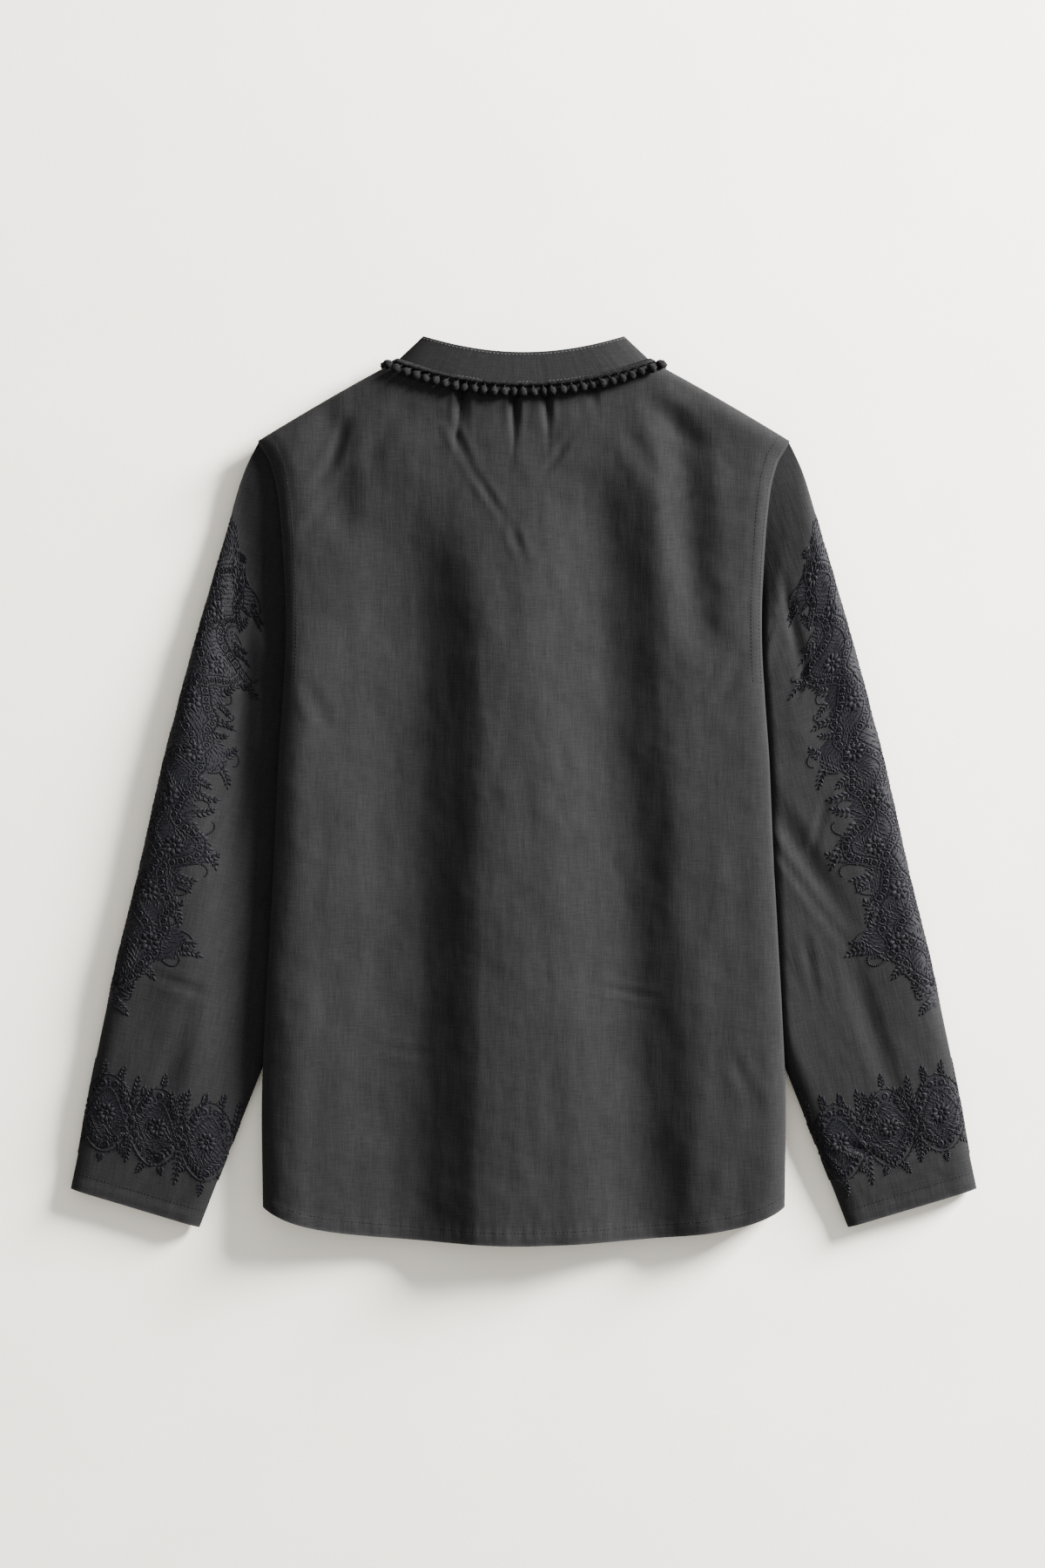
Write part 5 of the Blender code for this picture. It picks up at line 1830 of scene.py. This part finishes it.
@dataclass
class Garland(Sprigs):
    """A generic garland down the outer fold: a dense ground, two rows of eyelets, flowers and a leafy fringe."""

    start: float = 70.0
    end: float = 462.0
    waves: int = 5
    upper: float = 45.0
    lower: float = -20.0
    swing: float = 9.0
    eyelet_pitch: float = 7.0
    ribbon_half: float = 3.8
    flower_half: float = 8.5
    frond_pitch: float = 8.6
    patch_pitch: float = 1.7

    def wave(self, s: Array | float) -> Array:
        """How far round its waves the garland is, down the sleeve."""
        return 2.0 * math.pi * self.waves * (np.asarray(s) - self.start) / (self.end - self.start)

    def taper(self, s: Array | float) -> Array:
        """How full the garland is: narrow at its ends."""
        s = np.asarray(s)
        return smooth((s - self.start + 22.0) / 46.0) * (0.35 + 0.65 * smooth((self.end - s) / 60.0))

    def over_edge(self, s: Array | float) -> Array:
        """The ground's edge on the sleeve's top."""
        s = np.asarray(s)
        ripple = 4.0 * np.sin(s / 6.3) + 2.5 * np.sin(s / 3.1)
        return self.taper(s) * (self.upper + self.swing * np.sin(self.wave(s)) + ripple)

    def under_edge(self, s: Array | float) -> Array:
        """The ground's edge underneath."""
        s = np.asarray(s)
        return self.taper(s) * (self.lower - 5.0 * np.sin(self.wave(s) + 1.0) - 3.0 * np.sin(s / 5.7))

    def draw(self) -> None:
        """Draws the whole garland."""
        s = np.linspace(self.start + 14.0, self.end - 16.0, 220)
        for share, phase, size in ((0.28, 0.0, 0.95), (0.74, 2.2, 0.85)):
            line = self.over_edge(s) * (share + 0.15 * np.sin(self.wave(s) * 1.5 + phase))
            self.ribbon(np.stack([s, line], -1), self.eyelet_pitch, self.ribbon_half, size)
        pitch = (self.end - self.start) / self.waves
        for n in range(self.waves):
            crest, trough = self.start + pitch * (n + 0.3), self.start + pitch * (n + 0.8)
            self.flower(crest, float(self.over_edge(crest)) * 0.5, 8, self.flower_half, 0.2)
            self.flower(trough, float(self.over_edge(trough)) * 0.42, 7, self.flower_half, 0.5)
            self.flower(crest + 12.0, float(self.under_edge(crest)) * 0.5, 7, self.flower_half, 0.1)
        place, n = self.start + 4.0, 0
        while place < self.end:
            edge, back = float(self.over_edge(place)), float(self.under_edge(place))
            reach = 11.0 + 8.0 * abs(math.sin(1.9 * n)) * float(self.taper(place))
            lean = 1.55 + 0.55 * math.sin(2.3 * n)
            if n % 3 == 1:
                self.curl(place, edge - 2.0, lean, reach + 6.0, 3.2 * (-1.0) ** n)
            else:
                self.frond(place, edge - 5.0, lean, reach, 0.8 * (-1.0) ** n, 4, 7.0)
            self.frond(place + 3.0, back + 4.0, -lean, reach * 0.8, 0.7 * (-1.0) ** n, 3, 6.4)
            place, n = place + self.frond_pitch, n + 1
        down = np.arange(self.start - 8.0, self.end, self.patch_pitch)[:, None]
        across = np.linspace(0.0, 1.0, 27)[None, :]
        low, high = self.under_edge(down), self.over_edge(down)
        self.thread.patch(down + 0.0 * across, low + (high - low) * across)
        self.ground((self.start - 6.0, self.end), (self.lower - 12.0, self.upper + 16.0),
                    lambda a, b: (b < self.over_edge(a)) & (b > self.under_edge(a)))


@dataclass
class CuffBand(Sprigs):
    """A band round the cuff: two crossing ribbons of eyelets, a dense ground between them and leaves outside."""

    low: float = -100.0
    high: float = 100.0
    middle: float = 546.0
    swing: float = 25.0
    waves: int = 3
    eyelet_pitch: float = 10.4
    eyelet_share: float = 1.12
    ribbon_half: float = 5.4
    frond_long: float = 17.0

    def reach(self, w: Array | float) -> Array:
        """How far the ribbons are from the middle line."""
        return self.swing * np.sin(2.0 * math.pi * np.asarray(w) * self.waves / (self.high - self.low))

    def draw(self) -> None:
        """Draws the band, from the underarm fold right round to it again."""
        w = np.linspace(self.low + 2.0, self.high - 2.0, 300)
        pitch = (self.high - self.low) / self.waves
        for sign in (-1.0, 1.0):
            line = np.stack([self.middle + sign * self.reach(w), w], -1)
            self.ribbon(line, self.eyelet_pitch, self.ribbon_half, self.eyelet_share)
        half = math.ceil(self.low / (pitch / 2.0))
        for n in range(half, math.floor(self.high / (pitch / 2.0)) + 1):
            at = n * pitch / 2.0
            for side in (-1.0, 1.0):
                way = 0.0 if side > 0.0 else math.pi
                for lean in (-0.9, 0.0, 0.9):
                    long = self.frond_long + 12.0 * abs(math.sin(3.0 * lean + 1.7 * n + side))
                    self.frond(self.middle + side * 8.0, at + 5.0 * lean, way + side * 0.6 * lean, long,
                               0.4 * lean, 6, 6.2)
            middle = at + pitch / 4.0
            if middle < self.high - 6.0:
                self.flower(self.middle, middle, 9, 8.0, 0.2)
                for k in range(-3, 4):
                    out = float(abs(self.reach(middle + 6.0 * k))) + 5.0
                    long = 6.0 + 5.0 * abs(math.sin(2.1 * k + n))
                    side, lean = (-1.0) ** (k + n), 0.3 * k
                    self.frond(self.middle + side * out, middle + 6.0 * k, lean if side > 0.0 else math.pi - lean,
                               long, 0.2 * k, 3, 5.2)
                    self.curl(self.middle + 0.4 * out, middle + 5.0 * k, 0.9 * k, 9.0, 2.6)
        across, round_it = np.linspace(-1.0, 1.0, 25)[None, :], w[::2, None]
        reach = np.abs(self.reach(round_it)) + self.ribbon_half
        self.thread.patch(self.middle + across * reach, round_it + 0.0 * across)
        self.ground((self.middle - self.swing, self.middle + self.swing), (self.low + 2.0, self.high - 2.0),
                    lambda a, b: np.abs(a - self.middle) < np.abs(self.reach(b)) - 5.0)


@dataclass
class Collar:
    """The stand collar, a folded band with a row of stitches along each edge."""

    form: CollarForm
    columns: int = 230
    rows: int = 14
    wall: float = 1.3
    stitch_in: float = 2.0

    def turns(self, count: int) -> Array:
        """Values of f round the collar, from one end to the other."""
        start = math.asin(self.form.end_x / self.form.top_half) / (2.0 * math.pi)
        return np.linspace(start, 1.0 - start, count)

    def make(self, look: Material) -> Object:
        """Makes the band."""
        f, up = self.turns(self.columns + 1)[None, :], np.linspace(0.0, 1.0, self.rows + 1)[:, None]
        points = self.form.point(f, up)
        far = lengths(points[0])
        tall = np.linalg.norm(points[-1] - points[0], axis=-1)[None, :]
        flat = np.stack([np.broadcast_to(far[None, :], points.shape[:2]), up * tall], -1)
        wear = np.maximum(near(tall * (1.0 - up), 1.6), 0.3 * near(tall * up, 1.2))
        cloth = ClothGrid(points, flat, wear).make("collar_band", self.wall, (self.rows // 2, self.columns // 2), True)
        finish_piece(cloth, look, "linen", "collar")
        return cloth

    def sew(self, stamps: dict[Motif, Stamp], look: Material) -> Object:
        """Sews a line along the seam and one along the top edge."""
        f, up = self.turns(900), np.linspace(0.0, 1.0, 15)
        points = self.form.point(f[:, None], up[None, :])
        chart = Chart(points, f, up, (450, 7), (0.0, 0.0, 1.0))
        tall = np.linalg.norm(points[:, -1] - points[:, 0], axis=-1)
        seam = SeamWork(stamps[Motif.STITCH])
        for share in (self.stitch_in / tall, 1.0 - self.stitch_in / tall):
            seam.lay(chart, f, share)
        return seam.make("collar_stitching", look)


@dataclass
class PompomTrim:
    """The tape under the collar with its row of fluffy pompoms."""

    form: ShirtForm
    near_seam: float = 0.4
    far_seam: float = 3.6
    thick: float = 0.9
    lift: float = 0.9
    start_x: float = 15.0
    pitch: float = 7.9
    radius: float = 3.3
    fluff: float = 0.45
    out: float = 8.9
    height: float = 3.0
    cord: float = 0.8

    def frames(self, f: Array, out: float) -> tuple[Array, Array, Array, Array]:
        """Places round the neck with three directions at each.

        Args:
            f: Places round the neck.
            out: How far out from the seam.

        Returns:
            The places, and the ways along, out and off the cloth.
        """
        loop = self.form.neck_loop
        along = loop(np.minimum(f + 0.002, 1.0), out) - loop(np.maximum(f - 0.002, 0.0), out)
        away = loop(f, out + 0.5) - loop(f, max(out - 0.5, 0.0))
        off = np.cross(along, away)
        rough = np.stack([0.0 * f, np.abs(np.sin(2.0 * math.pi * f)), -np.cos(2.0 * math.pi * f)], -1)
        off = np.where(np.sum(off * rough, -1, keepdims=True) < 0.0, -off, off)
        return loop(f, out), unit(along), unit(away), unit(off)

    def evenly(self, pitch: float) -> Array:
        """Values of f spaced evenly along the pompoms' line."""
        start = math.asin(self.start_x / (self.form.neck_half + 2.4)) / (2.0 * math.pi)
        f = np.linspace(start, 1.0 - start, 1200)
        far = lengths(self.form.neck_loop(f, self.out))
        count = round(far[-1] / pitch)
        return np.interp((np.arange(count) + 0.5) * far[-1] / count, far, f)

    def tape(self) -> tuple[Array, Array]:
        """The tape's corners and faces: a flat band with a scalloped outer edge."""
        f = self.evenly(self.pitch / 6.0)
        wavy = self.far_seam + 0.5 * np.abs(np.sin(np.arange(len(f)) * math.pi / 6.0))
        corners = []
        for out, lift in ((self.near_seam, 0.0), (None, 0.0), (None, self.thick), (self.near_seam, self.thick)):
            here, _, away, off = self.frames(f, self.far_seam if out is None else out)
            reach = (wavy - self.far_seam)[:, None] if out is None else 0.0
            corners.append(here + away * reach + off * (self.lift + lift))
        points = np.stack(corners, 1).reshape(-1, 3)
        last = (len(f) - 1) * 4
        ends = [[2, 1, 0], [3, 2, 0], [last, last + 1, last + 2], [last, last + 2, last + 3]]
        return points, np.concatenate([tube_faces(len(f), 4), ends])

    def tuft(self) -> Stamp:
        """Models one pompom: a ball whose faces are drawn out to tufts."""
        added(bpy.ops.mesh.primitive_ico_sphere_add, subdivisions=2, radius=self.radius)
        with editing():
            bpy.ops.mesh.poke(offset=self.fluff)
        stamp = Stamp.from_active()
        rng = np.random.default_rng(8)
        stamp.points *= rng.uniform(0.88, 1.12, (len(stamp.points), 1))
        return stamp

    def make(self, look: Material) -> Object:
        """Makes the tape and sets the pompoms along it, each on a short cord and turned its own way."""
        points, faces = self.tape()
        all_points, all_faces, count = [points], [faces], len(points)
        f = self.evenly(self.pitch)
        here, along, away, off = self.frames(f, self.out)
        tuft = self.tuft()
        rng = np.random.default_rng(31)
        for k in range(len(f)):
            turn, _ = np.linalg.qr(rng.normal(size=(3, 3)))
            turn *= np.sign(np.linalg.det(turn))
            size = rng.uniform(0.93, 1.07)
            middle = here[k] + off[k] * (self.height + rng.uniform(-0.2, 0.3)) + away[k] * rng.uniform(-0.4, 0.5)
            ball = tuft.points @ turn.T * size
            out = (ball @ away[k])[:, None]
            pear = (ball - out * away[k]) * (1.0 + 0.2 * out / self.radius) + 1.1 * out * away[k]
            all_points.append(pear + middle)
            all_faces.append(tuft.faces + count)
            count += len(tuft.points)
            foot = here[k] - away[k] * (self.out - self.far_seam) + off[k] * (self.lift + self.thick / 2.0)
            ring = np.arange(6) * math.pi / 3.0
            spread = (np.cos(ring)[:, None] * along[k] + np.sin(ring)[:, None] * off[k]) * self.cord
            all_points.append(np.concatenate([foot + spread, middle + spread]))
            all_faces.append(tube_faces(2, 6) + count)
            count += 12
        made = new_mesh("neck_pompoms", placed(np.concatenate(all_points)), np.concatenate(all_faces), 180.0)
        only(made)
        with editing():
            bpy.ops.mesh.normals_make_consistent(inside=False)
        return finish_piece(made, look, "yarn", "pompom_trim")


@dataclass
class Studio:
    """The pale floor, a large soft light from the upper right, and the camera straight above."""

    middle: tuple[float, float] = (-0.001, 0.0055)
    high: float = 0.015
    seen: float = 1.242
    lens: float = 85.0
    sensor: float = 36.0
    light_size: float = 1.3
    light_far: float = 3.9
    light_turn: float = 34.0
    light_rise: float = 17.0
    light_watts: float = 1950.0
    light_colour: tuple[float, float, float] = (1.0, 0.985, 0.965)
    sky: float = 1.0
    sky_colour: tuple[float, float, float] = (1.0, 0.975, 0.93)
    floor_size: float = 8.0

    def make(self, plaster: Material) -> None:
        """Makes the floor, the light, the sky and the camera."""
        floor = added(bpy.ops.mesh.primitive_plane_add, size=self.floor_size, location=(0.0, 0.0, -0.0003))
        floor.name = "floor"
        floor.data.materials.append(plaster)
        lamp = bpy.data.lights.new("window_light", "AREA")
        lamp.shape, lamp.size, lamp.energy = "SQUARE", self.light_size, self.light_watts
        lamp.color = self.light_colour
        light = bpy.data.objects.new("window_light", lamp)
        turn, rise = math.radians(self.light_turn), math.radians(self.light_rise)
        way = Vector((math.cos(turn) * math.cos(rise), math.sin(turn) * math.cos(rise), math.sin(rise)))
        light.location = way * self.light_far
        light.rotation_euler = way.to_track_quat("Z", "Y").to_euler()
        bpy.context.scene.collection.objects.link(light)
        world = bpy.data.worlds.new("studio")
        world.use_nodes = True
        background = world.node_tree.nodes["Background"]
        background.inputs["Color"].default_value = (*self.sky_colour, 1.0)
        background.inputs["Strength"].default_value = self.sky
        bpy.context.scene.world = world
        lens = bpy.data.cameras.new("camera")
        lens.lens, lens.sensor_width, lens.sensor_fit = self.lens, self.sensor, "AUTO"
        lens.clip_end = 20.0
        camera = bpy.data.objects.new("camera", lens)
        camera.location = (*self.middle, self.high + self.seen * self.lens / self.sensor)
        bpy.context.scene.collection.objects.link(camera)
        bpy.context.scene.camera = camera


def make_stamps() -> dict[Motif, Stamp]:
    """Models the small shapes once."""
    return {
        Motif.LEAF: Stamp.pad(5, 4, 0.8),
        Motif.SEED: Stamp.pad(4, 3, 0.95),
        Motif.RING: Stamp.ring(9, 3, 0.24),
        Motif.DOT: Stamp.pad(5, 3, 1.0),
        Motif.STITCH: Stamp.pad(5, 4, 0.95),
    }


def main() -> None:
    """Makes the shirt's pieces in the order in which it is sewn, and then the studio."""
    logging.basicConfig(level=logging.INFO, format="%(name)s %(message)s")
    linen, thread, sewing, yarn, horn = (finish.make() for finish in (LINEN, THREAD, SEWING, YARN, HORN))
    stamps = make_stamps()
    form = ShirtForm()
    placket = Placket(form)
    placket.make(linen)
    placket.sew(stamps, sewing)
    Front(form, "front_right", 1.0, form.placket_half + form.gap, 0.0, (0.2, 0.69), 0.113).make(linen)
    Front(form, "front_left", -1.0, -12.0, form.wall + form.gap, (0.225, 0.69), 0.128).make(linen)
    for name, side in (("sleeve_right", 1), ("sleeve_left", -1)):
        sleeve = Sleeve(SleeveForm(side, form), name)
        sleeve.make(linen)
        sleeve.embroider(stamps, thread)
    back = BackPanel(form)
    back.make(linen)
    back.sew(stamps, thread)
    collar = Collar(CollarForm(form))
    collar.make(linen)
    collar.sew(stamps, sewing)
    PompomTrim(form).make(yarn)
    placket.buttons(horn, thread)
    Studio().make(PLASTER.make())


if __name__ == "__main__":
    main()
